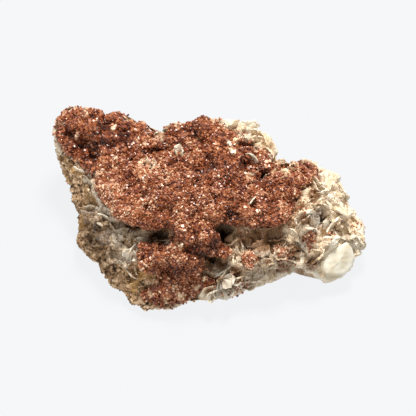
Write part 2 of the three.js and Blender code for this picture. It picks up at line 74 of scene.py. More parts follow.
camera = placed("camera", bpy.data.cameras.new("camera"))
camera.location = in_view(*FRAME_MIDDLE) + TOWARDS_EYE * CAMERA_DISTANCE
camera.rotation_euler = (math.pi / 2 - LOOK_DOWN, 0, 0)
camera.data.lens = camera.data.sensor_width * CAMERA_DISTANCE / FRAME_WIDTH
camera.data.clip_end = 3 * CAMERA_DISTANCE
bpy.context.scene.camera = camera
bpy.context.scene.view_settings.view_transform = "Standard"


# Host rock. Brown, grainy, weathered rock under and to the left of the vein. It is broken on every side,
# with lumps, pits and loose angular grains, and its base is flat.
ROCK_VOXEL = 0.5 * MM
ROCK_RELIEF = [(7, 1.0), (2.8, 0.7), (1.1, 0.35)]  # mm: size of the lumps and their height
LARGEST_BUMP = 0.9 * MM
DEEPEST_PIT = 1.5 * MM
RELIEF_START = 0.1 * MM  # below this height over the table a surface has no lumps
RELIEF_RISE = 1.5 * MM  # over this much more height they grow to full
GRAIN_SIZE = (0.13, 0.31)
GRAIN_SPACING = 0.72
CLEAR_OF_TABLE = 0.8 * MM  # no loose grains this close to the table or the vein
CLEAR_OF_VEIN = 0.9 * MM
ROCK_GRAIN = 0.8  # size of the coloured grains
GRIT_DEPTH = 0.3
FEATURE_SHARE = 0.6  # size of the blotches of a noise texture, as a share of 1 / its scale
SPOT_UNEVENNESS = 2.2  # size of the bends in the edge of a spot
SPOT_SEED = 5
# Colour of the painted shade on the rock and the barite
PAINTED_SHADE_BROWN = (0.085, 0.042, 0.016)
# Painted shade on the left wall: lists of places [across, up, reach] in the view, each after the amount that
# they darken by
ROCK_PAINTED_SHADE = {0.5: [(-38, 28, 5.0), (-34, 22, 4.0)]}


def node(tree, kind, inputs=None, **settings):
    """Adds a node, sets or links its inputs by name or number, and returns its first output."""
    made = tree.nodes.new(kind)
    for key, value in settings.items():
        setattr(made, key, value)
    usable = [socket for socket in made.inputs if socket.enabled]
    for key, value in (inputs or {}).items():
        socket = usable[key] if isinstance(key, int) else next(s for s in usable if s.name == key)
        if isinstance(value, bpy.types.NodeSocket):
            tree.links.new(value, socket)
        else:
            socket.default_value = value
    return next((socket for socket in made.outputs if socket.enabled), None)


def new_tree(name, inputs):
    """A Geometry Nodes tree with a geometry in and out and named inputs, given as (kind, default)."""
    tree = bpy.data.node_groups.new(name, "GeometryNodeTree")
    tree.interface.new_socket("Geometry", in_out="OUTPUT", socket_type="NodeSocketGeometry")
    tree.interface.new_socket("Geometry", in_out="INPUT", socket_type="NodeSocketGeometry")
    for label, (kind, default) in inputs.items():
        socket = tree.interface.new_socket(label, in_out="INPUT", socket_type="NodeSocket" + kind)
        if default is not None:
            socket.default_value = default
    return tree, tree.nodes.new("NodeGroupInput").outputs


def end_tree(tree, geometry, material):
    """Ends a tree in Realize Instances and Set Material."""
    real = node(tree, "GeometryNodeRealizeInstances", {"Geometry": geometry})
    painted = node(tree, "GeometryNodeSetMaterial", {"Geometry": real, "Material": material})
    tree.links.new(painted, tree.nodes.new("NodeGroupOutput").inputs[0])


def maths(tree, operation, *values, **settings):
    return node(tree, "ShaderNodeMath", dict(enumerate(values)), operation=operation, **settings)


def vector_maths(tree, operation, *values):
    return node(tree, "ShaderNodeVectorMath", dict(enumerate(values)), operation=operation)


def random_value(tree, low, high, seed):
    kind = "FLOAT_VECTOR" if isinstance(low, tuple) else "FLOAT"
    return node(tree, "FunctionNodeRandomValue", {"Min": low, "Max": high, "Seed": seed}, data_type=kind)


def rounded_copy(cad_node, name, voxel, rounds):
    """A fine copy of a CAD node, remeshed, with its facets rounded off."""
    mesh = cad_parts[cad_node].data.copy()
    mesh.materials.clear()
    merged = bmesh.new()
    merged.from_mesh(mesh)
    bmesh.ops.remove_doubles(merged, verts=merged.verts, dist=1e-6)
    merged.to_mesh(mesh)
    merged.free()
    piece = placed(name, mesh)
    remesh = piece.modifiers.new("remesh", "REMESH")
    remesh.mode = "VOXEL"
    remesh.voxel_size = voxel
    soften = piece.modifiers.new("soften", "SMOOTH")
    soften.iterations = rounds
    return piece


def grown(piece, tree, **values):
    """Runs a tree on a piece with inputs set by name, and leaves the piece a plain mesh."""
    modifier = piece.modifiers.new(tree.name, "NODES")
    modifier.node_group = tree
    sockets = {s.name: s.identifier for s in tree.interface.items_tree if s.in_out == "INPUT"}
    for label, value in values.items():
        modifier[sockets[label.replace("_", " ")]] = value
    evaluated = piece.evaluated_get(bpy.context.evaluated_depsgraph_get())
    mesh = bpy.data.meshes.new_from_object(evaluated)
    piece.modifiers.clear()
    piece.data = mesh
    return piece


def finished(piece, slot, *cad_nodes):
    """Sets a finished piece on the table and gives it to the frame."""
    for vertex in piece.data.vertices:
        if vertex.co.z < 0:
            vertex.co.z = 0
    if cad_nodes:
        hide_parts(*cad_nodes)
    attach(piece, "root")


def folds(tree, position, size, height, seed):
    """Folded noise with features about size across. A height above 0 gives sharp crests with hollows
    between them, and one below 0 gives round knobs with creases between them."""
    moved = vector_maths(tree, "ADD", position, (seed, 2 * seed, 3 * seed))
    waves = node(tree, "ShaderNodeTexNoise", {
        "Vector": moved, "Scale": FEATURE_SHARE / (size * MM), "Detail": 2.0})
    folded = maths(tree, "ABSOLUTE", maths(tree, "SUBTRACT", waves, 0.5))
    return maths(tree, "MULTIPLY_ADD", folded, -8 * height * MM, 0.55 * height * MM)


def relief(tree, geometry, layers, seed, calm=None):
    """Pushes a surface in and out along its normals by layers of folds, and keeps the amount as "relief".
    calm is a number from 0 to 1 that the folds are multiplied by."""
    position = node(tree, "GeometryNodeInputPosition")
    total = folds(tree, position, *layers[0], seed)
    for number, (size, height) in enumerate(layers[1:]):
        total = maths(tree, "ADD", total, folds(tree, position, size, height, seed + 0.1 * (number + 1)))
    if calm is not None:
        total = maths(tree, "MULTIPLY", total, calm)
    total = maths(tree, "MAXIMUM", maths(tree, "MINIMUM", total, LARGEST_BUMP), -DEEPEST_PIT)
    span = sum(abs(height) for _, height in layers) * MM
    share = maths(tree, "MULTIPLY_ADD", total, 0.6 / span, 0.6)
    kept = node(tree, "GeometryNodeStoreNamedAttribute", {
        "Geometry": geometry, "Name": "relief", "Value": share})
    z = node(tree, "ShaderNodeSeparateXYZ", {0: position}).node.outputs["Z"]
    off_table = above(tree, z, RELIEF_START, 1 / RELIEF_RISE)
    offset = vector_maths(tree, "SCALE", node(tree, "GeometryNodeInputNormal"))
    tree.links.new(maths(tree, "MULTIPLY", total, off_table), offset.node.inputs["Scale"])
    return node(tree, "GeometryNodeSetPosition", {"Geometry": kept, "Offset": offset})


def new_material(name, roughness, ior=1.5):
    """A material's tree and shader, and the position on the piece that its patterns use."""
    material = bpy.data.materials.new(name)
    material.use_nodes = True
    tree = material.node_tree
    shader = tree.nodes["Principled BSDF"]
    shader.inputs["Roughness"].default_value = roughness
    shader.inputs["IOR"].default_value = ior
    place = tree.nodes.new("ShaderNodeTexCoord").outputs["Object"]
    return material, tree, shader, place


def ramp(tree, factor, stops):
    """Colours by their place from 0 to 1."""
    made = node(tree, "ShaderNodeValToRGB", {0: factor})
    elements = made.node.color_ramp.elements
    while len(elements) < len(stops):
        elements.new(0.5)
    for element, (place, colour) in zip(elements, stops):
        element.position = place
        element.color = (*colour, 1)
    return made


def mottle(tree, place, size, detail=4.0, rough=0.6):
    """Blotches about size mm across, from 0 to 1."""
    settings = {
        "Vector": place, "Scale": FEATURE_SHARE / (size * MM), "Detail": detail, "Roughness": rough}
    return node(tree, "ShaderNodeTexNoise", settings)


def mix(tree, factor, low, high):
    """One colour at factor 0 and another at factor 1."""
    made = tree.nodes.new("ShaderNodeMix")
    made.data_type = "RGBA"
    sockets = [s for s in made.inputs if s.enabled]
    for socket, value in zip(sockets, (factor, low, high)):
        if isinstance(value, bpy.types.NodeSocket):
            tree.links.new(value, socket)
        elif isinstance(value, (int, float)):
            socket.default_value = value
        else:
            socket.default_value = (*value, 1)
    return next(s for s in made.outputs if s.enabled)


def kept_on(tree, label):
    """A number kept on the points of a mesh, in a material."""
    return node(tree, "ShaderNodeAttribute", attribute_name=label).node.outputs["Fac"]


def above(tree, value, start, steepness):
    """0 up to start, then rising to 1."""
    return maths(tree, "MULTIPLY", maths(tree, "SUBTRACT", value, start), steepness, use_clamp=True)


def rock_paint(tree, place):
    """Brown and tan grains with ochre patches."""
    tone = maths(tree, "MULTIPLY", kept_on(tree, "tone"), 0.2)
    cells = node(tree, "ShaderNodeTexVoronoi", {"Vector": place, "Scale": 1 / (ROCK_GRAIN * MM)})
    cell = node(tree, "ShaderNodeSeparateColor", {0: cells.node.outputs["Color"]})
    tone = maths(tree, "MULTIPLY_ADD", cell, 0.3, maths(tree, "SUBTRACT", tone, 0.15))
    grain = maths(tree, "ADD", mottle(tree, place, 1.3, 5.0, 0.8), tone)
    browns = ramp(tree, grain, [(0.3, (0.035, 0.017, 0.007)), (0.42, (0.21, 0.115, 0.048)),
                                (0.54, (0.50, 0.31, 0.16)), (0.7, (0.90, 0.68, 0.46))])
    ochre = maths(tree, "MULTIPLY", above(tree, mottle(tree, place, 4.0, 3.0), 0.56, 8), 0.6)
    return mix(tree, ochre, browns, (0.58, 0.33, 0.09))


def nearness(spots):
    """How near a point's place in the view is to the nearest of some spots, from 0 to 1."""
    def amount(point):
        wobble = noise.noise_vector(point / (SPOT_UNEVENNESS * MM))
        across, up = seen_place(point + wobble * 0.5 * SPOT_UNEVENNESS * MM)
        return max(
            math.exp(-((across - a) ** 2 + (up - u) ** 2) / reach ** 2) for a, u, reach in spots)
    return amount


def shade(groups):
    """How much painted shade a point has, by lists of spots and the amounts that they darken by."""
    nearnesses = [(amount, nearness(spots)) for amount, spots in groups.items()]
    return lambda point: sum(amount * near(point) for amount, near in nearnesses)


def mark(piece, label, amount):
    """Keeps a number from 0 to 1 on each point of a mesh, by its place."""
    values = [amount(vertex.co) for vertex in piece.data.vertices]
    piece.data.attributes.new(label, "FLOAT", "POINT").data.foreach_set("value", values)


noise.seed_set(SPOT_SEED)
rock_material, tree, shader, place = new_material("weathered_rock", 0.85)
# Painted shade on the left wall, mixed in towards the shade brown
shaded = mix(tree, kept_on(tree, "painted_shade_and_tint"), rock_paint(tree, place), PAINTED_SHADE_BROWN)
tree.links.new(shaded, shader.inputs["Base Color"])
grit = node(tree, "ShaderNodeBump", {
    "Strength": 0.8, "Distance": GRIT_DEPTH * MM, "Height": mottle(tree, place, 0.7)})
tree.links.new(grit, shader.inputs["Normal"])

tree, inputs = new_tree("broken_rock", {
    "Smallest Grain": ("Float", GRAIN_SIZE[0] * MM), "Largest Grain": ("Float", GRAIN_SIZE[1] * MM),
    "Grain Spacing": ("Float", GRAIN_SPACING * MM), "Vein": ("Object", None), "Seed": ("Int", 3),
    "Material": ("Material", None)})
broken = relief(tree, inputs["Geometry"], ROCK_RELIEF, 3.0)
height = node(tree, "ShaderNodeSeparateXYZ", {0: node(tree, "GeometryNodeInputPosition")}).node.outputs["Z"]
vein = node(tree, "GeometryNodeObjectInfo", {"Object": inputs["Vein"]}).node.outputs["Geometry"]
clearance = node(tree, "GeometryNodeProximity", {0: vein}).node.outputs["Distance"]
off_table = node(tree, "FunctionNodeCompare", {0: height, 1: CLEAR_OF_TABLE}, operation="GREATER_THAN")
uncovered = node(tree, "FunctionNodeCompare", {
    0: clearance, 1: CLEAR_OF_VEIN}, operation="GREATER_THAN")
open_rock = node(tree, "FunctionNodeBooleanMath", {0: off_table, 1: uncovered}, operation="AND")
spots = node(tree, "GeometryNodeDistributePointsOnFaces", {
    "Mesh": broken, "Selection": open_rock, "Distance Min": inputs["Grain Spacing"], "Density Max": 4e6,
    "Seed": inputs["Seed"]}, distribute_method="POISSON")
chip = node(tree, "GeometryNodeMeshCone", {
    "Vertices": 4, "Radius Top": 0.7, "Radius Bottom": 1.0, "Depth": 1.1})
chip = node(tree, "GeometryNodeSetShadeSmooth", {"Geometry": chip, "Shade Smooth": False})
turn = node(tree, "FunctionNodeEulerToRotation", {0: random_value(tree, (-3, -3, -3), (3, 3, 3), 4)})
size = random_value(tree, inputs["Smallest Grain"], inputs["Largest Grain"], 5)
chips = node(tree, "GeometryNodeInstanceOnPoints", {
    "Points": spots, "Instance": chip, "Rotation": turn, "Scale": size})
chips = node(tree, "GeometryNodeStoreNamedAttribute", {
    "Geometry": chips, "Name": "tone", "Value": random_value(tree, -0.6, 0.7, 6)}, domain="INSTANCE")
joined = node(tree, "GeometryNodeJoinGeometry", {0: chips})
tree.links.new(broken, joined.node.inputs[0])
end_tree(tree, joined, inputs["Material"])
host_rock = grown(rounded_copy("host_rock", "rock", ROCK_VOXEL, 4), tree,
                  Vein=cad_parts["barite_vein"], Material=rock_material)
mark(host_rock, "painted_shade_and_tint", shade(ROCK_PAINTED_SHADE))
finished(host_rock, "host_rock", "host_rock")


# Vanadinite crust. The base that the crystals of the druse stand on: round knobs with creases between
# them, thin where the pale barite shows through, with painted shade that makes it darker in the hollows.
CRUST_VOXEL = 0.45 * MM
CRUST_RELIEF = [(8, -1.8), (3.6, -1.9), (1.4, 0.4)]
# Hollows as [across, up, reach, depth], mm in the view: one with a depth below 0 is a rise
HOLLOWS = [(-38, 49.5, 3.0, 4.2), (-34.5, 45.8, 2.6, 4.2), (-41.6, 53, 2.0, 2.6), (-30.5, 54.6, 1.8, 1.6),
           (-25.5, 52.6, 2.0, 1.8), (-21, 50, 1.8, 1.4), (-15.5, 47.5, 3.2, 2.2), (-14.5, 53, 2.0, 1.4),
           (-27, 41.5, 2.2, 1.4), (0, 46.2, 3.0, 1.8), (7, 45.6, 1.8, 1.4), (10.5, 43.5, 2.0, 1.8),
           (16.4, 39.6, 2.0, 2.0), (-5, 27.5, 2.2, 1.6), (7.5, 33, 1.8, 1.6), (-12, 30, 2.2, 1.2),
           (5.5, 29.4, 2.0, 2.0), (-12, 12.6, 2.4, 1.8), (-6, 11.6, 2.2, 1.8), (-3, 55.5, 2.2, -0.3),
           (3, 50, 2.6, -0.1), (-39.5, 57.5, 2.0, -0.6), (-27, 57, 2.2, -0.6), (20, 36, 3.0, -0.7),
           (-14, 17, 2.4, -0.8), (-24, 46, 2.0, -0.6), (-31, 48.5, 1.6, -0.6), (-6.3, 18, 1.2, 1.2),
           (-3.6, 17.3, 1.3, 1.3), (-0.8, 16.7, 1.3, 1.2), (-18.7, 30.8, 1.4, 1.4)]
# Places as [across, up, reach], mm in the view, where few crystals grew and the barite shows
THIN_SPOTS = [(-41, 61, 2.0), (-36.4, 59, 1.6), (-14.5, 52.5, 3.2), (-10, 55.5, 2.0), (-8.7, 48.5, 2.2),
              (-3.4, 51.3, 1.8), (-17, 43.2, 2.6), (-30, 42, 1.6), (8.7, 50.7, 2.2), (13.6, 45, 2.4),
              (5.8, 55.4, 2.4), (12, 40.2, 2.6), (13.5, 32.5, 1.8), (23.5, 41.6, 2.8), (-40.5, 45, 1.8),
              (-34, 40, 1.6), (-13, 3, 2.2), (-1, 9, 2.0), (-16, 9, 2.4), (-17.5, 5, 2.4), (-8, 4, 2.2),
              (-3.5, 6.8, 2.0), (-10.5, 6.8, 1.8), (-20, 12, 1.6), (-44.5, 56, 1.6), (-24, 57.5, 1.4),
              (-19, 50, 1.4), (21.5, 44.2, 2.0), (26, 43.4, 1.8), (19.6, 42, 1.8), (-20, 44.5, 1.8),
              (-12, 40.5, 1.4), (-26, 35.5, 1.4), (1, 57, 1.4)]
# Painted shade, most of it in the hollows: lists of places, each after the amount that they darken by: one
# below 0 makes them lighter
DRUSE_PAINTED_SHADE = {
    1.0: [(-41.6, 53, 2.6), (-38, 49.5, 4.2), (-34.5, 45.8, 3.8), (-31, 55, 1.8), (-25.5, 52.4, 2.2),
          (-15.5, 47.5, 2.2), (-30.5, 50, 2.0), (10.5, 43.5, 1.8), (5.5, 29.4, 2.0), (16.4, 39.6, 2.0),
          (3.5, 21, 3.2), (-15, 23, 3.5), (-9, 11.6, 2.0), (0, 46, 1.8), (-6.3, 18, 1.2), (-3.6, 17.3, 1.3),
          (-0.8, 16.7, 1.3), (-18.7, 30.8, 1.3), (-24, 40, 1.0), (-9, 36, 1.1), (4, 34.5, 1.1)],
    0.3: [(-35, 53, 6.0), (3, 50, 6.0), (-26, 49, 4.0), (5, 44, 4.0)],
    -0.45: [(-27, 39, 7.0), (-19, 43, 5.0), (-31, 36, 5.0), (-22, 34, 5.0), (-14, 39, 4.0)],
}
COARSE_SPOTS = [(-33, 52, 8.0), (-25, 56, 5.0), (6, 51, 5.0)]  # where the crystals are larger


def facing_out(tree):
    """How far a surface faces up or towards the eye, whichever is more: 1 is fully."""
    normal = node(tree, "GeometryNodeInputNormal")
    to_eye = vector_maths(tree, "DOT_PRODUCT", normal, tuple(TOWARDS_EYE)).node.outputs["Value"]
    upwards = node(tree, "ShaderNodeSeparateXYZ", {0: normal}).node.outputs["Z"]
    return maths(tree, "MAXIMUM", to_eye, upwards)


def hollow_out(piece):
    """Sinks or raises a surface along the look at the hollows."""
    for vertex in piece.data.vertices:
        across, up = seen_place(vertex.co)
        vertex.co -= TOWARDS_EYE * MM * sum(
            depth * math.exp(-((across - a) ** 2 + (up - u) ** 2) / reach ** 2)
            for a, u, reach, depth in HOLLOWS)


vanadinite_material, tree, shader, place = new_material("vanadinite", 0.35, 1.65)
shader.inputs["Specular Tint"].default_value = (1, 0.86, 0.76, 1)
warmth = maths(tree, "MULTIPLY_ADD", mottle(tree, place, 4), 1.0, -0.3)
warmth = maths(tree, "MULTIPLY_ADD", kept_on(tree, "tone"), 0.65, warmth)
# Painted shade: darker at the marked shade spots, and lighter where the mark is below 0, as on the tufts
warmth = maths(tree, "MULTIPLY_ADD", kept_on(tree, "painted_shade_and_tint"), -0.42, warmth)
# Painted shade in the creases of the crust, and lighter crystals on its knobs
warmth = maths(tree, "ADD", maths(tree, "MULTIPLY_ADD", kept_on(tree, "relief"), 0.5, -0.3), warmth)
warmth = maths(tree, "MULTIPLY_ADD", kept_on(tree, "thin"), 0.15, warmth)
red_brown = ramp(tree, warmth, [(0.04, (0.04, 0.008, 0.003)), (0.29, (0.14, 0.03, 0.01)),
                                (0.54, (0.32, 0.088, 0.03)), (0.77, (0.50, 0.20, 0.085)),
                                (0.95, (0.76, 0.52, 0.34))])
# Less of the pale frost where the painted shade is
frosted = maths(tree, "MULTIPLY_ADD", kept_on(tree, "painted_shade_and_tint"), -0.5, 0.4, use_clamp=True)
frosted = maths(tree, "MULTIPLY", above(tree, mottle(tree, place, 1.6), 0.5, 5), frosted, use_clamp=True)
red_brown = mix(tree, frosted, red_brown, (0.36, 0.15, 0.12))
thinness = maths(tree, "SUBTRACT", kept_on(tree, "thin"), 0.6)
patchy = maths(tree, "MULTIPLY_ADD", mottle(tree, place, 1.5), 1.2, thinness)
bare = maths(tree, "MULTIPLY", above(tree, patchy, 0.66, 4.0), kept_on(tree, "base"))
tan = ramp(tree, mottle(tree, place, 1.0), [(0.38, (0.40, 0.22, 0.10)), (0.58, (0.82, 0.64, 0.42))])
tree.links.new(mix(tree, bare, red_brown, tan), shader.inputs["Base Color"])

crust_tree, inputs = new_tree("druse_crust", {"Material": ("Material", None)})
upper_side = maths(crust_tree, "MULTIPLY_ADD", facing_out(crust_tree), 1.5, 0.3, use_clamp=True)
knobs = relief(crust_tree, inputs["Geometry"], CRUST_RELIEF, 11.0, upper_side)
end_tree(crust_tree, knobs, inputs["Material"])


def crust_of(cad_node, name):
    """The crust over one of the vanadinite solids, marked by place."""
    crust = grown(rounded_copy(cad_node, name, CRUST_VOXEL, 5), crust_tree, Material=vanadinite_material)
    mark(crust, "thin", nearness(THIN_SPOTS))
    mark(crust, "painted_shade_and_tint", shade(DRUSE_PAINTED_SHADE))
    mark(crust, "base", lambda point: 1.0)
    mark(crust, "coarse", nearness(COARSE_SPOTS))
    hollow_out(crust)
    return crust


druse = crust_of("vanadinite_druse", "druse_crust")
TUFTS = ("vanadinite_front_tuft", "vanadinite_lower_right_tuft", "vanadinite_right_tuft")
tufts = {cad_node: crust_of(cad_node, cad_node.replace("vanadinite_", "")) for cad_node in TUFTS}


# Vanadinite crystals. Small short six-sided prisms with flat shiny ends, which stand close together on
# the crust, each with its own tilt, and a few stray ones on the barite around it.
SPACING = 0.37
CRYSTAL_RADIUS = (0.17, 0.4)
CRYSTAL_LENGTH = (0.45, 1.15)
CRYSTAL_TILT = 45
UNDERSIDE = -0.15  # what faces down more than this carries no crystals
THINNING = 0.85  # share of the crystals that is missing where the crust is thinnest
COARSENESS = 0.6  # how much wider they are where they are coarsest
PRISM_RISE = 0.1  # of its length: the middle of a crystal over the crust
TUFT_THINNESS = 0.45
TUFT_DARKNESS = -0.5  # lighter and more orange than the druse
STRIPS = [-60, -24, -4, 12, 60]  # mm along X: each strip of crystals is one mesh
# Small groups of larger crystals with flat ends: [across, up, reach], mm in the view
LARGE_CRYSTALS = [(-28.2, 54.3, 1.5), (-39.3, 52.2, 1.1), (-28.2, 45.7, 0.9), (-24.7, 36.8, 0.7),
                  (7.3, 47.3, 1.1), (17.8, 43.2, 1.2), (-7.6, 24.1, 1.0), (-8, 19.5, 0.8),
                  (14.8, 29.4, 0.8), (-3, 33, 0.6), (-14, 37, 0.55), (-20, 33, 0.55), (3, 40, 0.55),
                  (22, 36, 0.6), (-12, 9.5, 0.55), (-34, 57, 0.6), (27, 39.5, 0.5), (-31, 50, 0.6),
                  (-16, 41, 0.5), (9, 37, 0.5)]
LARGE_AXIS = Vector((0.06, -0.19, 0.98))
LARGE_SCATTER = (0.05, 0.1, 0.2, 0.4, 0.6)  # tilt of each crystal of a group away from the axis
LARGE_SPREAD = 0.7  # of the reach of its group
LARGE_RADIUS = (0.4, 0.7)  # of the reach of its group
LARGE_TAPER = 0.85
LARGE_RISE = 0.8  # of its radius: the middle of a crystal over the crust
LARGE_LENGTH = 2.4  # of its radius


def kept_value(tree, label):
    """A number kept on the points of a mesh, in a Geometry Nodes tree."""
    return node(tree, "GeometryNodeInputNamedAttribute", {"Name": label}, data_type="FLOAT")


def copy_of(piece, name):
    return placed(name, piece.data.copy())


def tree_of(piece):
    """For finding the nearest point of a mesh, or where a line meets it."""
    corners = [vertex.co for vertex in piece.data.vertices]
    return BVHTree.FromPolygons(corners, [face.vertices for face in piece.data.polygons])


crystal_tree, inputs = new_tree("standing_crystals", {
    "Spacing": ("Float", SPACING * MM), "Smallest": ("Float", CRYSTAL_RADIUS[0] * MM),
    "Largest": ("Float", CRYSTAL_RADIUS[1] * MM), "Shortest": ("Float", CRYSTAL_LENGTH[0] * MM),
    "Longest": ("Float", CRYSTAL_LENGTH[1] * MM), "Tilt": ("Float", math.radians(CRYSTAL_TILT)),
    "From X": ("Float", -1.0), "To X": ("Float", 1.0), "Seed": ("Int", 1), "Keep Crust": ("Bool", False),
    "Material": ("Material", None)})
tree = crystal_tree
x = node(tree, "ShaderNodeSeparateXYZ", {0: node(tree, "GeometryNodeInputPosition")})
after = node(tree, "FunctionNodeCompare", {0: x, 1: inputs["From X"]}, operation="GREATER_EQUAL")
before = node(tree, "FunctionNodeCompare", {0: x, 1: inputs["To X"]}, operation="LESS_THAN")
outside = node(tree, "FunctionNodeCompare", {0: facing_out(tree), 1: UNDERSIDE}, operation="GREATER_THAN")
chosen = node(tree, "FunctionNodeBooleanMath", {0: after, 1: before}, operation="AND")
chosen = node(tree, "FunctionNodeBooleanMath", {0: chosen, 1: outside}, operation="AND")
fullness = maths(tree, "MULTIPLY_ADD", kept_value(tree, "thin"), -THINNING, 1.0)
spots = node(tree, "GeometryNodeDistributePointsOnFaces", {
    "Mesh": inputs["Geometry"], "Selection": chosen, "Distance Min": inputs["Spacing"], "Density Max": 8e6,
    "Density Factor": fullness, "Seed": inputs["Seed"]}, distribute_method="POISSON")
turn = spots.node.outputs["Rotation"]
prism = node(tree, "GeometryNodeMeshCylinder", {"Vertices": 6, "Radius": 1.0, "Depth": 1.0})
prism = node(tree, "GeometryNodeTransform", {"Geometry": prism, "Translation": (0, 0, PRISM_RISE)})
prism = node(tree, "GeometryNodeSetShadeSmooth", {"Geometry": prism, "Shade Smooth": False})
tilts = vector_maths(tree, "SCALE", random_value(tree, (-1, -1, -3), (1, 1, 3), 5))
tree.links.new(inputs["Tilt"], tilts.node.inputs["Scale"])
turned = node(tree, "FunctionNodeRotateRotation", {
    0: turn, 1: node(tree, "FunctionNodeEulerToRotation", {0: tilts})}, rotation_space="LOCAL")
radius = random_value(tree, inputs["Smallest"], inputs["Largest"], 6)
wider = maths(tree, "MULTIPLY_ADD", kept_value(tree, "coarse"), COARSENESS, 1.0)
radius = maths(tree, "MULTIPLY", radius, wider)
length = random_value(tree, inputs["Shortest"], inputs["Longest"], 7)
size = node(tree, "ShaderNodeCombineXYZ", {"X": radius, "Y": radius, "Z": length})
standing = node(tree, "GeometryNodeInstanceOnPoints", {
    "Points": spots, "Instance": prism, "Rotation": turned, "Scale": size})
standing = node(tree, "GeometryNodeStoreNamedAttribute", {
    "Geometry": standing, "Name": "tone", "Value": random_value(tree, 0.0, 1.0, 8)}, domain="INSTANCE")
standing = node(tree, "GeometryNodeStoreNamedAttribute", {
    "Geometry": standing, "Name": "base", "Value": 0.0}, domain="INSTANCE")
crust = node(tree, "GeometryNodeSwitch", {
    0: inputs["Keep Crust"], 2: inputs["Geometry"]}, input_type="GEOMETRY")
joined = node(tree, "GeometryNodeJoinGeometry", {0: standing})
tree.links.new(crust, joined.node.inputs[0])
end_tree(tree, joined, inputs["Material"])

druse_surface = tree_of(druse)
source = random.Random(9)
made = bmesh.new()
for across, up, reach in LARGE_CRYSTALS:
    for scatter in LARGE_SCATTER:
        a = across + source.uniform(-LARGE_SPREAD, LARGE_SPREAD) * reach
        u = up + source.uniform(-LARGE_SPREAD, LARGE_SPREAD) * reach
        spot = druse_surface.ray_cast(in_view(a, u) + TOWARDS_EYE, -TOWARDS_EYE)[0]
        axis = (LARGE_AXIS + Vector([source.uniform(-1, 1) for _ in range(3)]) * scatter).normalized()
        radius = source.uniform(*LARGE_RADIUS) * reach * MM
        turn = Matrix.Rotation(source.uniform(0, 1), 4, "Z")
        turn = turn @ Matrix.Diagonal((1, source.uniform(0.6, 1), 1, 1))
        upright = axis.to_track_quat("Z", "Y").to_matrix().to_4x4()
        place = Matrix.Translation(spot + axis * LARGE_RISE * radius) @ upright @ turn
        bmesh.ops.create_cone(made, cap_ends=True, segments=6, radius1=radius,
                              radius2=LARGE_TAPER * radius, depth=LARGE_LENGTH * radius, matrix=place)
mesh = bpy.data.meshes.new("large_crystals")
made.to_mesh(mesh)
made.free()
large_crystals = placed("large_crystals", mesh)
mesh.materials.append(vanadinite_material)
# Painted highlight: a high tone and relief give these crystals a pale colour, which adds to the glint of
# their flat ends
mark(large_crystals, "tone", lambda point: 0.9)
mark(large_crystals, "relief", lambda point: 0.8)
finished(large_crystals, "vanadinite")

for number, (start, end) in enumerate(zip(STRIPS, STRIPS[1:])):
    strip = copy_of(druse, f"druse_crystals_{number + 1}")
    grown(strip, crystal_tree, From_X=start * MM, To_X=end * MM, Seed=20 + number,
          Material=vanadinite_material)
    finished(strip, "vanadinite")
finished(druse, "vanadinite", "vanadinite_druse")
for cad_node, tuft in tufts.items():
    tuft.data.attributes["thin"].data.foreach_set("value", [TUFT_THINNESS] * len(tuft.data.vertices))
    tuft.data.attributes["painted_shade_and_tint"].data.foreach_set("value", [TUFT_DARKNESS] * len(tuft.data.vertices))
    grown(tuft, crystal_tree, Keep_Crust=True, Seed=40, Material=vanadinite_material)
    finished(tuft, "vanadinite", cad_node)


# Barite bed. Cream barite that filled the crack over the rock: it carries the druse, and its own surface
# has curved crests with hollows between them that hold brown dirt and painted shade. Near the druse it is
# stained orange, with painted shade under its overhangs.
VEIN_VOXEL = 0.45 * MM
VEIN_RELIEF = [(6.5, 1.9), (2.6, 0.9), (1.0, 0.3)]
PLATE_PLACE = (39.2, 13.6)  # the smooth plate at the right end, as seen
PLATE_REACH = 7 * MM
PLATE_SPOT = 4.5  # reach of its smooth cream on the bed around it
STAIN_REACH = 1.6
COVER_REACH = 5  # what has the druse this near above it is sunk a little, clear of the druse
COVER_SINK = 1.4
SWIRL_SIZE = 3  # size of the bends in the seams and bands
SWIRL_REACH = 4
SEAM_SPACING = 2.4  # between the thin brown seams
SEAM_WIDTH = 0.13  # as a share of the spacing
RIB_FINENESS = 5  # ribs to a radian, along each blade
BAND_SPACING = 0.9  # between the bands on the bed
BAND_SHARE = 0.31  # distance between the bands of a wave texture of scale 1
GROOVE_DEPTH = 0.18
RIM_HEIGHT = 1.6  # the edge near the table, which is darker towards the bottom
CLEANNESS = 0.8  # share of the orange stain that is missing where the barite is clean
# Places as [across, up, reach], mm in the view. The stained ones are orange-brown from the druse, and
# those under its overhangs also carry painted shade; the earthy ones are under brown dirt from the rock, and
# the clean ones are pale: the left edge of the vein and the single blades that come up through the druse
STAIN_AND_SHADE_SPOTS = [(16, 23, 5.0), (11, 22, 4.0), (20, 25, 3.5), (23.5, 41.5, 3.5), (31.5, 34.5, 2.2),
                 (25.5, 18, 3.0), (-15, 23, 5.0), (4, 22, 5.0), (3.5, 14.5, 3.5), (12, 15, 3.0),
                 (-22, 26, 4.0), (30, 22, 2.5), (-27, 25, 2.5), (0, 14, 3.0), (8, 12, 2.5), (29, 27, 2.5),
                 (22, 12.5, 2.0), (31, 14, 2.5), (16, 21, 6.0), (20, 22, 4.0)]
EARTHY_SPOTS = [(-30, 20, 6.0), (-26, 13, 6.0), (-37, 28, 6.0), (-22, 8, 5.0), (-33, 24, 6.0),
                (-40, 33, 4.5), (-20, 4, 5.0)]
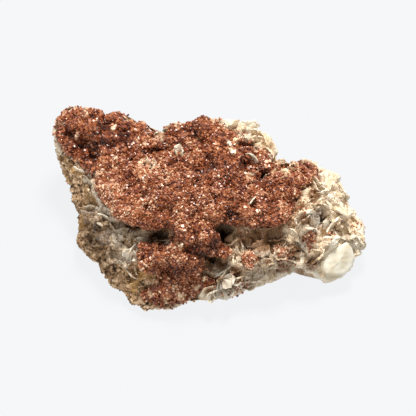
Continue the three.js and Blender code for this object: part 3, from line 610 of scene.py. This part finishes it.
CLEAN_SPOTS = [(-44.5, 51, 3.0), (-42.5, 46.5, 3.0), (-39.5, 42, 3.0), (-35.5, 38, 3.0), (-32, 33, 3.0),
               (-28, 29, 2.5), (-27, 22.5, 3.0), (-22.5, 19, 3.0), (-25.5, 15.5, 2.5),
               (8.8, 50.4, 3.0), (13.8, 45.2, 3.0), (13.5, 31.8, 2.5), (-17, 43.3, 2.0), (-8.4, 48, 2.0),
               (-14.3, 52, 2.0), (-3.3, 51.3, 2.0)]
# Painted shade, most of it in the hollows and under the overhangs: lists of places, each after the amount
# that they darken by
BARITE_PAINTED_SHADE = {
    1.0: [(-15, 22.8, 3.2), (-9, 22.4, 2.4), (4, 21.5, 3.0), (2.6, 14.6, 1.8), (5.5, 29.4, 1.8),
          (16.4, 39.6, 1.8), (32.6, 28.6, 1.8), (-22, 25.2, 2.0), (-36, 37, 1.5)],
    0.6: [(-38, 28, 5.0), (-33, 22, 4.5)],
    0.35: [(5, 7, 6.0), (14, 11, 4.0), (20, 12, 4.0), (-25, 24.5, 4.0), (-1, 14, 4.0)],
}

barite_material, tree, shader, place = new_material("barite", 0.45, 1.64)
cream = ramp(tree, mottle(tree, place, 6, 5.0), [(0.32, (0.62, 0.44, 0.25)), (0.46, (0.86, 0.70, 0.49)),
                                                (0.6, (0.93, 0.86, 0.70))])
# Brown dirt and painted shade in the hollows, where the relief is low, and towards the roots of the blades
hollow = maths(tree, "SUBTRACT", 1.0, kept_on(tree, "relief"))
dirt_and_shade = maths(tree, "MULTIPLY_ADD", mottle(tree, place, 2.5), 0.6, maths(tree, "SUBTRACT", hollow, 0.3))
barite_colour = mix(tree, above(tree, dirt_and_shade, 0.44, 3.5), cream, (0.26, 0.145, 0.06))
swirl = node(tree, "ShaderNodeTexNoise", {
    "Vector": place, "Scale": FEATURE_SHARE / (SWIRL_SIZE * MM), "Detail": 2.0}).node.outputs["Color"]
bent = vector_maths(tree, "MULTIPLY_ADD", swirl, (SWIRL_REACH * MM,) * 3, place)
seams = node(tree, "ShaderNodeTexVoronoi", {
    "Vector": bent, "Scale": 1 / (SEAM_SPACING * MM)}, feature="DISTANCE_TO_EDGE")
seam = maths(tree, "SUBTRACT", 1.0, above(tree, seams, 0.0, 1 / SEAM_WIDTH))
seam = maths(tree, "MULTIPLY", seam, above(tree, mottle(tree, place, 4), 0.35, 4))
seam = maths(tree, "MULTIPLY", seam, 0.75)
seam = maths(tree, "MULTIPLY", seam, maths(tree, "SUBTRACT", 1.0, kept_on(tree, "smooth")))
barite_colour = mix(tree, seam, barite_colour, (0.33, 0.19, 0.085))
# Orange-brown staining, which under the druse's overhangs is also painted shade
blotch = maths(tree, "MULTIPLY_ADD", mottle(tree, place, 1.8), 0.6, kept_on(tree, "stain_and_shade"))
barite_colour = mix(tree, above(tree, blotch, 0.62, 2.2), barite_colour, (0.26, 0.13, 0.055))
fibre = kept_on(tree, "fibre")
ribs = node(tree, "ShaderNodeTexNoise", {
    "W": fibre, "Scale": RIB_FINENESS, "Detail": 3.0}, noise_dimensions="1D")
bands = node(tree, "ShaderNodeTexWave", {
    "Vector": bent, "Scale": BAND_SHARE / (BAND_SPACING * MM), "Distortion": 6.0, "Detail": 3.0,
    "Detail Scale": 1.5})
on_blade = maths(tree, "MINIMUM", fibre, 1.0)
on_bed = maths(tree, "SUBTRACT", maths(tree, "SUBTRACT", 1.0, on_blade), kept_on(tree, "smooth"))
streaks = maths(tree, "MULTIPLY_ADD", ribs, on_blade, maths(tree, "MULTIPLY", bands, on_bed))
dark_streaks = maths(tree, "MULTIPLY", above(tree, streaks, 0.52, 5), 0.3)
barite_colour = mix(tree, dark_streaks, barite_colour, (0.40, 0.25, 0.12))
earthy = maths(tree, "MULTIPLY_ADD", mottle(tree, place, 3), 0.6, kept_on(tree, "earth"))
earth = mix(tree, 0.5, rock_paint(tree, place), (0.1, 0.06, 0.025))
barite_colour = mix(tree, above(tree, earthy, 0.55, 4), barite_colour, earth)
cleaner = maths(tree, "MULTIPLY", above(tree, mottle(tree, place, 1.5), 0.3, 3), kept_on(tree, "clean"))
cleaner = maths(tree, "MULTIPLY", maths(tree, "SUBTRACT", 1.0, dark_streaks), cleaner)
barite_colour = mix(tree, maths(tree, "MULTIPLY", cleaner, 0.75), barite_colour, (0.95, 0.89, 0.76))
smooth_cream = ramp(tree, mottle(tree, place, 3, 2.0), [(0.35, (0.62, 0.54, 0.38)),
                                                        (0.6, (0.83, 0.79, 0.66))])
barite_colour = mix(tree, kept_on(tree, "smooth"), barite_colour, smooth_cream)
height = node(tree, "ShaderNodeSeparateXYZ", {0: place}).node.outputs["Z"]
rim = maths(tree, "MULTIPLY_ADD", height, -1 / (RIM_HEIGHT * MM), 1.0, use_clamp=True)
barite_colour = mix(tree, maths(tree, "MULTIPLY", rim, 0.65), barite_colour, (0.22, 0.12, 0.055))
# Painted shade, mixed in towards the shade brown
barite_colour = mix(tree, kept_on(tree, "painted_shade_and_tint"), barite_colour, PAINTED_SHADE_BROWN)
tree.links.new(barite_colour, shader.inputs["Base Color"])
uneven = maths(tree, "MULTIPLY_ADD", seam, -1.5, mottle(tree, place, 0.8))
uneven = maths(tree, "MULTIPLY_ADD", streaks, -1.3, uneven)
grooves = node(tree, "ShaderNodeBump", {"Strength": 0.6, "Distance": GROOVE_DEPTH * MM, "Height": uneven})
tree.links.new(grooves, shader.inputs["Normal"])

vein_solid = tree_of(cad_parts["barite_vein"])
druse_solid = tree_of(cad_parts["vanadinite_druse"])
plate_middle = vein_solid.ray_cast(in_view(*PLATE_PLACE) + TOWARDS_EYE, -TOWARDS_EYE)[0]
tree, inputs = new_tree("barite_bed", {
    "Smooth Place": ("Vector", (0, 0, 0)), "Smooth Reach": ("Float", PLATE_REACH),
    "Material": ("Material", None)})
apart = vector_maths(tree, "DISTANCE", node(tree, "GeometryNodeInputPosition"), inputs["Smooth Place"])
calm = maths(tree, "DIVIDE", apart.node.outputs["Value"], inputs["Smooth Reach"], use_clamp=True)
folded = relief(tree, inputs["Geometry"], VEIN_RELIEF, 7.0, maths(tree, "POWER", calm, 2.0))
end_tree(tree, folded, inputs["Material"])
barite_vein = grown(rounded_copy("barite_vein", "barite_bed", VEIN_VOXEL, 3), tree,
                    Smooth_Place=plate_middle, Material=barite_material)
hollow_out(barite_vein)
for vertex in barite_vein.data.vertices:
    gap = druse_solid.ray_cast(vertex.co, TOWARDS_EYE, COVER_REACH * MM)[3]
    if gap:
        vertex.co -= TOWARDS_EYE * COVER_SINK * MM * min(gap / MM, 1)

near_stain_and_shade = nearness(STAIN_AND_SHADE_SPOTS)
near_clean = nearness(CLEAN_SPOTS)
near_earth = nearness(EARTHY_SPOTS)


def stain_and_shade(point):
    """Orange staining, with painted shade under the druse's overhangs: full next to the druse and at the
    stained spots, and less at the clean ones.
    """
    distance = druse_surface.find_nearest(point)[3] / MM
    most = max(math.exp(-(distance / STAIN_REACH) ** 2), near_stain_and_shade(point))
    return most * (1 - CLEANNESS * near_clean(point))


def mark_barite(piece):
    """The marks that the bed and the blades share, so that a blade takes the tone of its place."""
    mark(piece, "stain_and_shade", stain_and_shade)
    mark(piece, "clean", near_clean)
    mark(piece, "painted_shade_and_tint", shade(BARITE_PAINTED_SHADE))


mark_barite(barite_vein)
mark(barite_vein, "earth", lambda point: near_earth(point) * (1 - near_clean(point)))
mark(barite_vein, "smooth", nearness([(*PLATE_PLACE, PLATE_SPOT)]))
finished(barite_vein, "barite", "barite_vein")


# Barite blades. Thin curved plates with a sharp wavy rim and ridges along their length. They stand in
# stacks and fans on the bed, like the leaves of half-open books, and most of each plate is in the bed.
BLADE_ROWS = 4
BLADE_COLUMNS = 10
BLADE_COUNT = 8  # different shapes of blade
HALF_ANGLE = math.radians(62)
HALF_WIDTH = 0.62  # of a blade 1 wide, without the cut of its half angle
THICKEST = 0.2  # of a blade 1 long, at its root
RIDGES = 0.03  # height of the ridges along a blade 1 long
BLADE_SPACING = 2.2
GROUND_REACH = 1.8  # how far around a stack the ground is felt for the way that it faces
TOWARDS_VIEW = 0.8  # how much the blades also turn to the side that they are placed from
# Stacks of blades, in mm and degrees:
# [across, up, blades, length, width, direction of the crests, lean, opening]
RIGHT_STACKS = [
    (35.5, 38, 2, 6, 9, 35, 25, 40), (39.2, 34.5, 2, 4.5, 6, -55, -5, 30), (31, 36.5, 3, 4, 6, -60, 0, 50),
    (34, 33, 2, 6, 9, 30, 45, 30), (38.5, 30.5, 2, 7, 9, -65, -40, 30), (43, 28, 2, 5, 8, -75, -30, 30),
    (33, 29.5, 2, 5, 7, 5, 40, 40), (37, 26.5, 2, 6, 9, 50, 40, 40), (42, 23.5, 2, 5, 7, -55, -40, 30),
    (45, 22, 2, 4, 6, -78, 0, 30), (36, 21.8, 2, 6, 8, -10, 45, 40), (32, 17.8, 3, 4, 6, 30, 30, 50),
    (28, 30, 3, 4, 5, 75, 0, 60), (28.2, 26.5, 3, 4, 5, 40, 30, 60), (26.5, 22, 3, 4, 5, -30, 0, 60),
    (40.5, 19.6, 2, 4.5, 7, -25, -40, 30), (29.5, 33.5, 2, 4, 6, 55, 30, 50),
    (36.5, 35.5, 2, 5, 7, -20, 40, 40),
]
FRONT_STACKS = [
    (1, 9, 3, 5.5, 7, 80, 0, 60), (5.5, 8.5, 3, 5.5, 7, 60, 0, 60), (-2.5, 6, 3, 4, 5.5, 75, 0, 60),
    (9.5, 9, 2, 5, 7, 40, 0, 60), (4, 12.8, 2, 6, 9, 35, 0, 50), (8, 15, 3, 5.5, 7, 80, 0, 60),
    (10.6, 19.5, 2, 6, 7, 82, 0, 30), (14, 11, 3, 4.5, 6, 25, 0, 60), (24, 12.8, 2, 4.5, 6, 25, 0, 50),
    (16, 17.8, 2, 5, 7, 30, 0, 60), (20.5, 19, 2, 5, 7, 20, 0, 60), (24.5, 21, 3, 4, 5, -20, 0, 60),
    (27, 15, 2, 4.5, 6, -20, 0, 50), (0.5, 4.5, 3, 3.5, 5, 60, 0, 60), (-8.5, 3.4, 3, 3, 4, 20, 0, 60),
    (13, 7.2, 2, 4, 5, 30, 0, 50), (18, 22, 2, 4.5, 8, 12, 0, 30), (17.5, 25, 2, 4, 7, 8, 0, 30),
    (7.5, 20.5, 2, 4.5, 7, 25, 0, 50), (13.5, 20.5, 2, 4.5, 7, 5, 0, 50), (21.8, 23.2, 2, 4, 6, 40, 0, 50),
]
LEFT_STACKS = [
    (-38.5, 42.6, 2, 3.2, 5, -35, 0, 40), (-35, 40.2, 2, 3.2, 5, -30, 0, 40),
    (-33.5, 36.8, 2, 3.2, 5, -65, 0, 40), (-31.5, 33, 2, 3.4, 5, -50, 0, 40),
    (-34.5, 30.4, 3, 5, 8, -40, 0, 40), (-31, 27.8, 3, 5, 7, -35, 0, 40),
    (-28, 24.5, 2, 5, 7, -60, 0, 60), (-24.5, 22.5, 3, 4, 6, 50, 0, 60), (-20.5, 20.2, 2, 3.4, 7, 5, 0, 30),
    (-14, 19.8, 2, 3, 7, 3, 0, 30), (-23, 17, 3, 4, 5, 75, 0, 60), (-21.5, 11.5, 3, 4, 5, -70, 0, 60),
    (-27, 20, 2, 4, 5, -30, 0, 60), (-42, 47.5, 2, 2.6, 5, -55, 0, 30),
]
CREST_STACKS = [
    (8, 54, 2, 3.6, 6, 20, 0, 50), (12.5, 53.4, 3, 3.6, 6, -10, 0, 50), (16, 50.6, 2, 4, 7, -50, 0, 50),
    (18.2, 47.4, 3, 3.6, 6, -60, 0, 50), (13.5, 50.2, 2, 3.6, 5, 40, 0, 60), (23.5, 41.6, 3, 3, 4, 20, 0, 50),
]
# Single blades that come up through the druse
DRUSE_STACKS = [
    (8.8, 50.4, 1, 5.5, 4.5, -50, 0, 0), (13.8, 45.2, 1, 4, 4.6, -55, 0, 0),
    (-17, 43.3, 2, 3.8, 3, 65, 0, 20), (-8.4, 48, 1, 4, 4.5, 75, 0, 0), (-14.3, 52, 2, 3.2, 3, 50, 0, 30),
    (-3.3, 51.3, 2, 3.6, 3, 30, 0, 20), (13.5, 31.8, 1, 4.2, 5.5, 32, 0, 0),
    (17, 38.4, 3, 4, 3.4, 70, 0, 60),
]
# A rosette of single blades round one middle
ROSETTE_PLACE = (19.7, 14.6)
ROSETTE_RADIUS = 1.9
ROSETTE_BLADES = 13
# Stacks at the back, as seen from behind: [mm to the right, mm up, and the rest as above]
BACK_STACKS = [
    (-30, 17, 2, 5, 7, 20, 30, 40), (-22, 17.5, 3, 4, 6, -40, 0, 50), (-14, 18.5, 2, 4, 6, 50, 20, 50),
    (-5, 17.5, 3, 4, 6, -20, -20, 50), (4, 18.5, 2, 4, 6, 30, 0, 50), (13, 17.5, 3, 4, 6, -50, 20, 50),
    (22, 17.5, 2, 4, 6, 15, 0, 50), (30, 16.5, 3, 3.6, 5, -30, 0, 50),
]


def blade(name, seed):
    """One blade in its own XY plane, 1 long and about 1 wide, with its root at the origin: it is closed
    and has a thin rim. It keeps as "relief" a number that rises from its root to its rim, so that it takes
    the brown and the painted shade of the hollows towards its root, and the place along its rim as "fibre"."""
    source = random.Random(seed)
    bend, skew, ripples = source.uniform(-0.15, 0.3), source.uniform(-0.25, 0.25), source.uniform(0, 6)
    arc = source.choice((-1, 1)) * source.uniform(0.1, 0.25)
    wave = [source.uniform(-0.09, 0.09) for _ in range(BLADE_COLUMNS + 1)]
    points, faces = [], []
    for side in (1, -1):
        for row in range(BLADE_ROWS + 1):
            for column in range(BLADE_COLUMNS + 1):
                share = 2 * column / BLADE_COLUMNS - 1
                angle = share * HALF_ANGLE
                reach = (0.1 + 0.9 * row / BLADE_ROWS) * (1 + wave[column])
                thickness = THICKEST * (1 - 0.5 * (row / BLADE_ROWS) ** 2) * (1 - 0.5 * share ** 2)
                ridges = RIDGES * math.sin(7 * angle + ripples) * reach
                curve = bend * reach ** 2 + skew * share * reach + arc * share ** 2 + ridges
                x, y = reach * math.cos(angle), HALF_WIDTH * reach * math.sin(angle)
                points.append((x, y, curve + side * thickness / 2))
    width = BLADE_COLUMNS + 1
    other = width * (BLADE_ROWS + 1)
    for row in range(BLADE_ROWS):
        for column in range(BLADE_COLUMNS):
            a = row * width + column
            faces.append((a, a + width, a + width + 1, a + 1))
            faces.append((other + a, other + a + 1, other + a + width + 1, other + a + width))
    rim = list(range(width))
    rim += [row * width + BLADE_COLUMNS for row in range(1, BLADE_ROWS + 1)]
    rim += [BLADE_ROWS * width + column for column in range(BLADE_COLUMNS - 1, -1, -1)]
    rim += [row * width for row in range(BLADE_ROWS - 1, 0, -1)]
    for a, b in zip(rim, rim[1:] + rim[:1]):
        faces.append((a, b, other + b, other + a))
    mesh = bpy.data.meshes.new(name)
    mesh.from_pydata(points, [], faces)
    rim_paleness = [0.32 + 0.4 * min(math.hypot(x, y), 1) + 0.1 * math.sin(9 * math.atan2(y, x) + ripples)
                 for x, y, _ in points]
    mesh.attributes.new("relief", "FLOAT", "POINT").data.foreach_set("value", rim_paleness)
    fibres = [3 + seed + math.atan2(y / HALF_WIDTH, x) for x, y, _ in points]
    mesh.attributes.new("fibre", "FLOAT", "POINT").data.foreach_set("value", fibres)
    tidy = bmesh.new()
    tidy.from_mesh(mesh)
    bmesh.ops.recalc_face_normals(tidy, faces=tidy.faces)
    tidy.to_mesh(mesh)
    tidy.free()
    return bpy.data.objects.new(name, mesh)


bed_surface = tree_of(barite_vein)
rock_surface = tree_of(host_rock)
BLADE_SHAPES = [blade(f"blade_{number}", number) for number in range(BLADE_COUNT)]

# Sides that pieces are placed from: the zero point, the ways right and up, and the way to the eye
FROM_FRONT = (VIEW_ZERO, ACROSS, UP, TOWARDS_EYE)
FROM_BEHIND = (Vector(), Vector((-1, 0, 0)), Vector((0, 0, 1)), Vector((0, 1, 0)))


def ground(across, up, side=FROM_FRONT):
    """Where the look from a side first meets the bed or the rock, and the way that a piece faces there."""
    zero, right, top, outwards = side

    def first(a, u):
        start = zero + (right * a + top * u) * MM + outwards
        hits = [surface.ray_cast(start, -outwards) for surface in (bed_surface, rock_surface)]
        return min((hit for hit in hits if hit[0]), key=lambda hit: hit[3], default=None)

    turns = [step * math.pi / 3 for step in range(6)]
    around = [first(across + GROUND_REACH * math.cos(turn), up + GROUND_REACH * math.sin(turn))
              for turn in turns]
    facing = sum((hit[1] for hit in around if hit), Vector())
    return first(across, up)[0], (facing.normalized() + TOWARDS_VIEW * outwards).normalized()


blade_tree, inputs = new_tree("stacked_blades", {
    **{f"Blade {number + 1}": ("Object", None) for number in range(BLADE_COUNT)},
    "Material": ("Material", None)})
tree = blade_tree
shapes = node(tree, "GeometryNodeJoinGeometry").node
for number in reversed(range(BLADE_COUNT)):
    shape = node(tree, "GeometryNodeObjectInfo", {"Object": inputs[f"Blade {number + 1}"]})
    shape = node(tree, "GeometryNodeGeometryToInstance", {0: shape.node.outputs["Geometry"]})
    tree.links.new(shape, shapes.inputs[0])
turn = node(tree, "GeometryNodeInputNamedAttribute", {"Name": "turn"}, data_type="QUATERNION")
size = node(tree, "GeometryNodeInputNamedAttribute", {"Name": "size"}, data_type="FLOAT_VECTOR")
shape = node(tree, "GeometryNodeInputNamedAttribute", {"Name": "shape"}, data_type="INT")
set_in = node(tree, "GeometryNodeInstanceOnPoints", {
    "Points": inputs["Geometry"], "Instance": shapes.outputs[0], "Pick Instance": True,
    "Instance Index": shape, "Rotation": turn, "Scale": size})
end_tree(tree, set_in, inputs["Material"])


def stacks(name, rows, seed, sink=0.68, side=FROM_FRONT):
    """All the blades of some stacks as one mesh. sink is the share of a blade that is in the ground."""
    source = random.Random(seed)
    roots, turns, sizes, shapes = [], [], [], []
    for across, up, blades, length, width, direction, lean, opening in rows:
        spot, outwards = ground(across, up, side)
        direction = math.radians(direction)
        along = side[1] * math.cos(direction) + side[2] * math.sin(direction)
        along = (along - outwards * along.dot(outwards)).normalized()
        sideways = outwards.cross(along)
        for number in range(blades):
            share = (number + 0.5) / blades - 0.5 + source.uniform(-0.06, 0.06)
            tip = math.radians(lean + 1.8 * opening * share)
            outward = (outwards * math.cos(tip) + sideways * math.sin(tip)).normalized()
            scale = source.uniform(0.6, 1.1)
            crest = along + outward * source.uniform(-0.4, 0.4) + sideways * source.uniform(-0.3, 0.3)
            crest = crest.normalized()
            crest = (crest - outward * crest.dot(outward)).normalized()
            axes = Matrix((outward, crest, outward.cross(crest))).transposed()
            step = sideways * share * blades * BLADE_SPACING * MM + along * source.uniform(-0.8, 0.8) * MM
            roots.append(spot + step - outward * sink * length * scale * MM)
            turns.append(axes.to_quaternion())
            sizes.append(Vector((length * scale, width * scale, length)) * MM)
            shapes.append(source.randrange(BLADE_COUNT))
    mesh = bpy.data.meshes.new(name)
    mesh.from_pydata(roots, [], [])
    turn = mesh.attributes.new("turn", "QUATERNION", "POINT").data
    turn.foreach_set("value", [part for turned in turns for part in turned])
    size = mesh.attributes.new("size", "FLOAT_VECTOR", "POINT").data
    size.foreach_set("vector", [part for sized in sizes for part in sized])
    mesh.attributes.new("shape", "INT", "POINT").data.foreach_set("value", shapes)
    piece = placed(name, mesh)
    choices = {f"Blade_{number + 1}": shape for number, shape in enumerate(BLADE_SHAPES)}
    grown(piece, blade_tree, Material=barite_material, **choices)
    mark_barite(piece)
    finished(piece, "barite")


stacks("barite_blades_right", RIGHT_STACKS, 31)
stacks("barite_blades_front", FRONT_STACKS, 32)
stacks("barite_blades_left", LEFT_STACKS, 33)
stacks("barite_blades_crest", CREST_STACKS, 34)
stacks("barite_blades_druse", DRUSE_STACKS, 35, -0.15)
stacks("barite_blades_back", BACK_STACKS, 36, side=FROM_BEHIND)
rosette = []
for number in range(ROSETTE_BLADES):
    turn = 2 * math.pi * number / ROSETTE_BLADES
    across = ROSETTE_PLACE[0] + ROSETTE_RADIUS * math.cos(turn)
    up = ROSETTE_PLACE[1] + ROSETTE_RADIUS * math.sin(turn)
    rosette.append((across, up, 1, 3, 4.4, math.degrees(turn), 0, 0))
stacks("barite_rosette", rosette, 37, 0.45)


# Smooth barite plate. The thick cream plate at the right end, nearly flat, with a blunt crest across it
# and faint ridges along the crest. A narrower plate shows under its lower rim.
# Places as [across, up], mm in the view
PLATE_OUTLINE = [(34.4, 14.6), (36.4, 17.4), (39.2, 19.2), (41.6, 20.4), (43.1, 18.6), (43.8, 15.8),
                 (43.1, 12.8), (41.2, 10.9), (38.2, 10.3), (35.2, 10.7), (33.8, 12.2)]
LOWER_OUTLINE = [(31.4, 11.6), (34, 12.6), (38, 12), (41.6, 11), (40.8, 10.1), (38.6, 9.3), (35.8, 8.7),
                 (33, 9.4)]
LOWER_PLACE = (36, 11)
CREST_LINE = ((35.4, 10.6), (42.6, 19.4))
# Rings of a plate, from the middle of its top to the middle of its base: [share of the outline, share
# of the thickness that it is down]
PLATE_RINGS = [(0.0, 0), (0.25, 0), (0.5, 0), (0.75, 0), (0.93, 0.06), (1.0, 0.35), (0.92, 1.0), (0.0, 1.0)]
PLATE_THICKNESS = 1.6 * MM
PLATE_RISE = 1.1 * MM
LOWER_RISE = 0.7 * MM
CREST_FALL = (0.13, 0.24)  # how fast the plate falls to the left and right of its crest
RIDGE_HEIGHT = 0.07
RIDGE_SPACING = 0.9


def from_crest(across, up):
    """Distance to the right of the crest line in the view, mm: below 0 to its left."""
    (a, u), (end_a, end_u) = CREST_LINE
    length = math.hypot(end_a - a, end_u - u)
    return ((across - a) * (end_u - u) - (up - u) * (end_a - a)) / length


def smooth_plate(name, outline, place, rise):
    """A plate with that outline, which stands a rise over the ground at a place."""
    middle = [sum(values) / len(outline) for values in zip(*outline)]
    spot, facing = ground(*place)
    facing = (facing + TOWARDS_EYE).normalized()
    made = bmesh.new()
    levels = []
    for size, depth in PLATE_RINGS:
        ring = []
        for corner, following in zip(outline, outline[1:] + outline[:1]):
            for part in (0.0, 0.5):
                across = middle[0] + (corner[0] + (following[0] - corner[0]) * part - middle[0]) * size
                up = middle[1] + (corner[1] + (following[1] - corner[1]) * part - middle[1]) * size
                out = in_view(across, up) - in_view(*place)
                aside = from_crest(across, up)
                fall = CREST_FALL[aside > 0] * abs(aside)
                fall -= RIDGE_HEIGHT * math.sin(2 * math.pi * aside / RIDGE_SPACING)
                lean = TOWARDS_EYE * (-out.dot(facing) / TOWARDS_EYE.dot(facing))
                height = rise - fall * MM - depth * PLATE_THICKNESS
                ring.append(made.verts.new(spot + out + lean + facing * height))
        levels.append(ring)
    count = len(levels[0])
    for upper, lower in zip(levels, levels[1:]):
        for k in range(count):
            made.faces.new((upper[k], upper[(k + 1) % count], lower[(k + 1) % count], lower[k]))
    bmesh.ops.remove_doubles(made, verts=made.verts, dist=1e-6)
    bmesh.ops.subdivide_edges(made, edges=made.edges, cuts=1, use_grid_fill=True, smooth=0.6)
    bmesh.ops.recalc_face_normals(made, faces=made.faces)
    for face in made.faces:
        face.smooth = True
    mesh = bpy.data.meshes.new(name)
    made.to_mesh(mesh)
    made.free()
    piece = placed(name, mesh)
    mesh.materials.append(barite_material)
    mark(piece, "relief", lambda point: 0.7)
    mark(piece, "smooth", lambda point: 1.0)
    finished(piece, "barite")


smooth_plate("barite_plate", PLATE_OUTLINE, PLATE_PLACE, PLATE_RISE)
smooth_plate("barite_lower_plate", LOWER_OUTLINE, LOWER_PLACE, LOWER_RISE)


# Stray crystals. Small orange-brown vanadinite crystals on the barite, thickest at the edge of the druse
# and around the tufts.
STRAY_SPACING = 0.7 * MM
STRAY_RADIUS = (0.15, 0.4)
STRAY_LENGTH = (0.4, 1.0)
# Places as [across, up, reach], mm in the view
STRAY_SPOTS = [(23, 16, 3.2), (26.5, 19, 2.4), (30.4, 21.5, 2.6), (12, 15, 2.8), (10, 8, 2.5), (29, 33, 2.5),
               (25.5, 30, 2.5), (18, 14.5, 2.0), (38, 24.5, 2.0), (44.5, 25, 1.8), (6.5, 6, 2.5),
               (24, 41.5, 3.0)]
NO_STRAYS = 1.18  # so bare that thinning by this leaves none
AT_SPOTS = 0.64  # how much less bare a place in the middle of a spot is
AT_EDGE = 0.69  # the same at the edge of the druse
NEAREST_STRAY = 0.8  # the least distance to the druse
EDGE_DISTANCE = 1.2  # the distance to the druse with the most strays
near_strays = nearness(STRAY_SPOTS)
strays = copy_of(barite_vein, "stray_crystals")


def bareness(point):
    """How few strays a place has: none under the druse, and most at its edge and around the tufts."""
    if druse_solid.ray_cast(point, TOWARDS_EYE, 2 * COVER_REACH * MM)[0]:
        return NO_STRAYS
    gap = druse_surface.find_nearest(point)[3] / MM
    if gap < NEAREST_STRAY:
        return NO_STRAYS
    near_edge = math.exp(-(gap - EDGE_DISTANCE) ** 2)
    return NO_STRAYS - max(AT_SPOTS * near_strays(point), AT_EDGE * near_edge)


mark(strays, "thin", bareness)
grown(strays, crystal_tree, Spacing=STRAY_SPACING, Smallest=STRAY_RADIUS[0] * MM,
      Largest=STRAY_RADIUS[1] * MM, Shortest=STRAY_LENGTH[0] * MM, Longest=STRAY_LENGTH[1] * MM, Seed=60,
      Material=vanadinite_material)
finished(strays, "vanadinite")


# Floor and lights. A plain pale table top, an even soft light all round, one large soft lamp above and
# behind, and a weak one in front at the left, which lightens the shadows.
FLOOR_SIZE = 4
FLOOR_GLOW = 0.908  # with this a table lit evenly from all round comes out pale without a hard shadow
floor_mesh = bpy.data.meshes.new("floor")
half = FLOOR_SIZE / 2
corners = [(-half, -half, 0), (half, -half, 0), (half, half, 0), (-half, half, 0)]
floor_mesh.from_pydata(corners, [], [(0, 1, 2, 3)])
floor = placed("floor", floor_mesh)
floor_material, tree, shader, place = new_material("table", 0.9)
shader.inputs["Base Color"].default_value = (0.02, 0.02, 0.02, 1)
shader.inputs["Emission Color"].default_value = (0.93, 0.942, 0.962, 1)
shader.inputs["Emission Strength"].default_value = FLOOR_GLOW
floor_mesh.materials.append(floor_material)

world = bpy.data.worlds.new("studio")
world.use_nodes = True
bpy.context.scene.world = world
world.node_tree.nodes["Background"].inputs["Color"].default_value = (1, 0.97, 0.93, 1)
world.node_tree.nodes["Background"].inputs["Strength"].default_value = 0.4


def lamp(name, place, size, power):
    """A soft lamp that faces the middle of the table."""
    made = placed(name, bpy.data.lights.new(name, "AREA"))
    made.location = place
    made.rotation_euler = Vector(place).to_track_quat("Z", "Y").to_euler()
    made.data.size = size
    made.data.energy = power


lamp("key", (0.1, 0.3, 0.92), 0.26, 14.3)
lamp("fill", (-0.35, -0.85, 0.4), 0.5, 2.2)
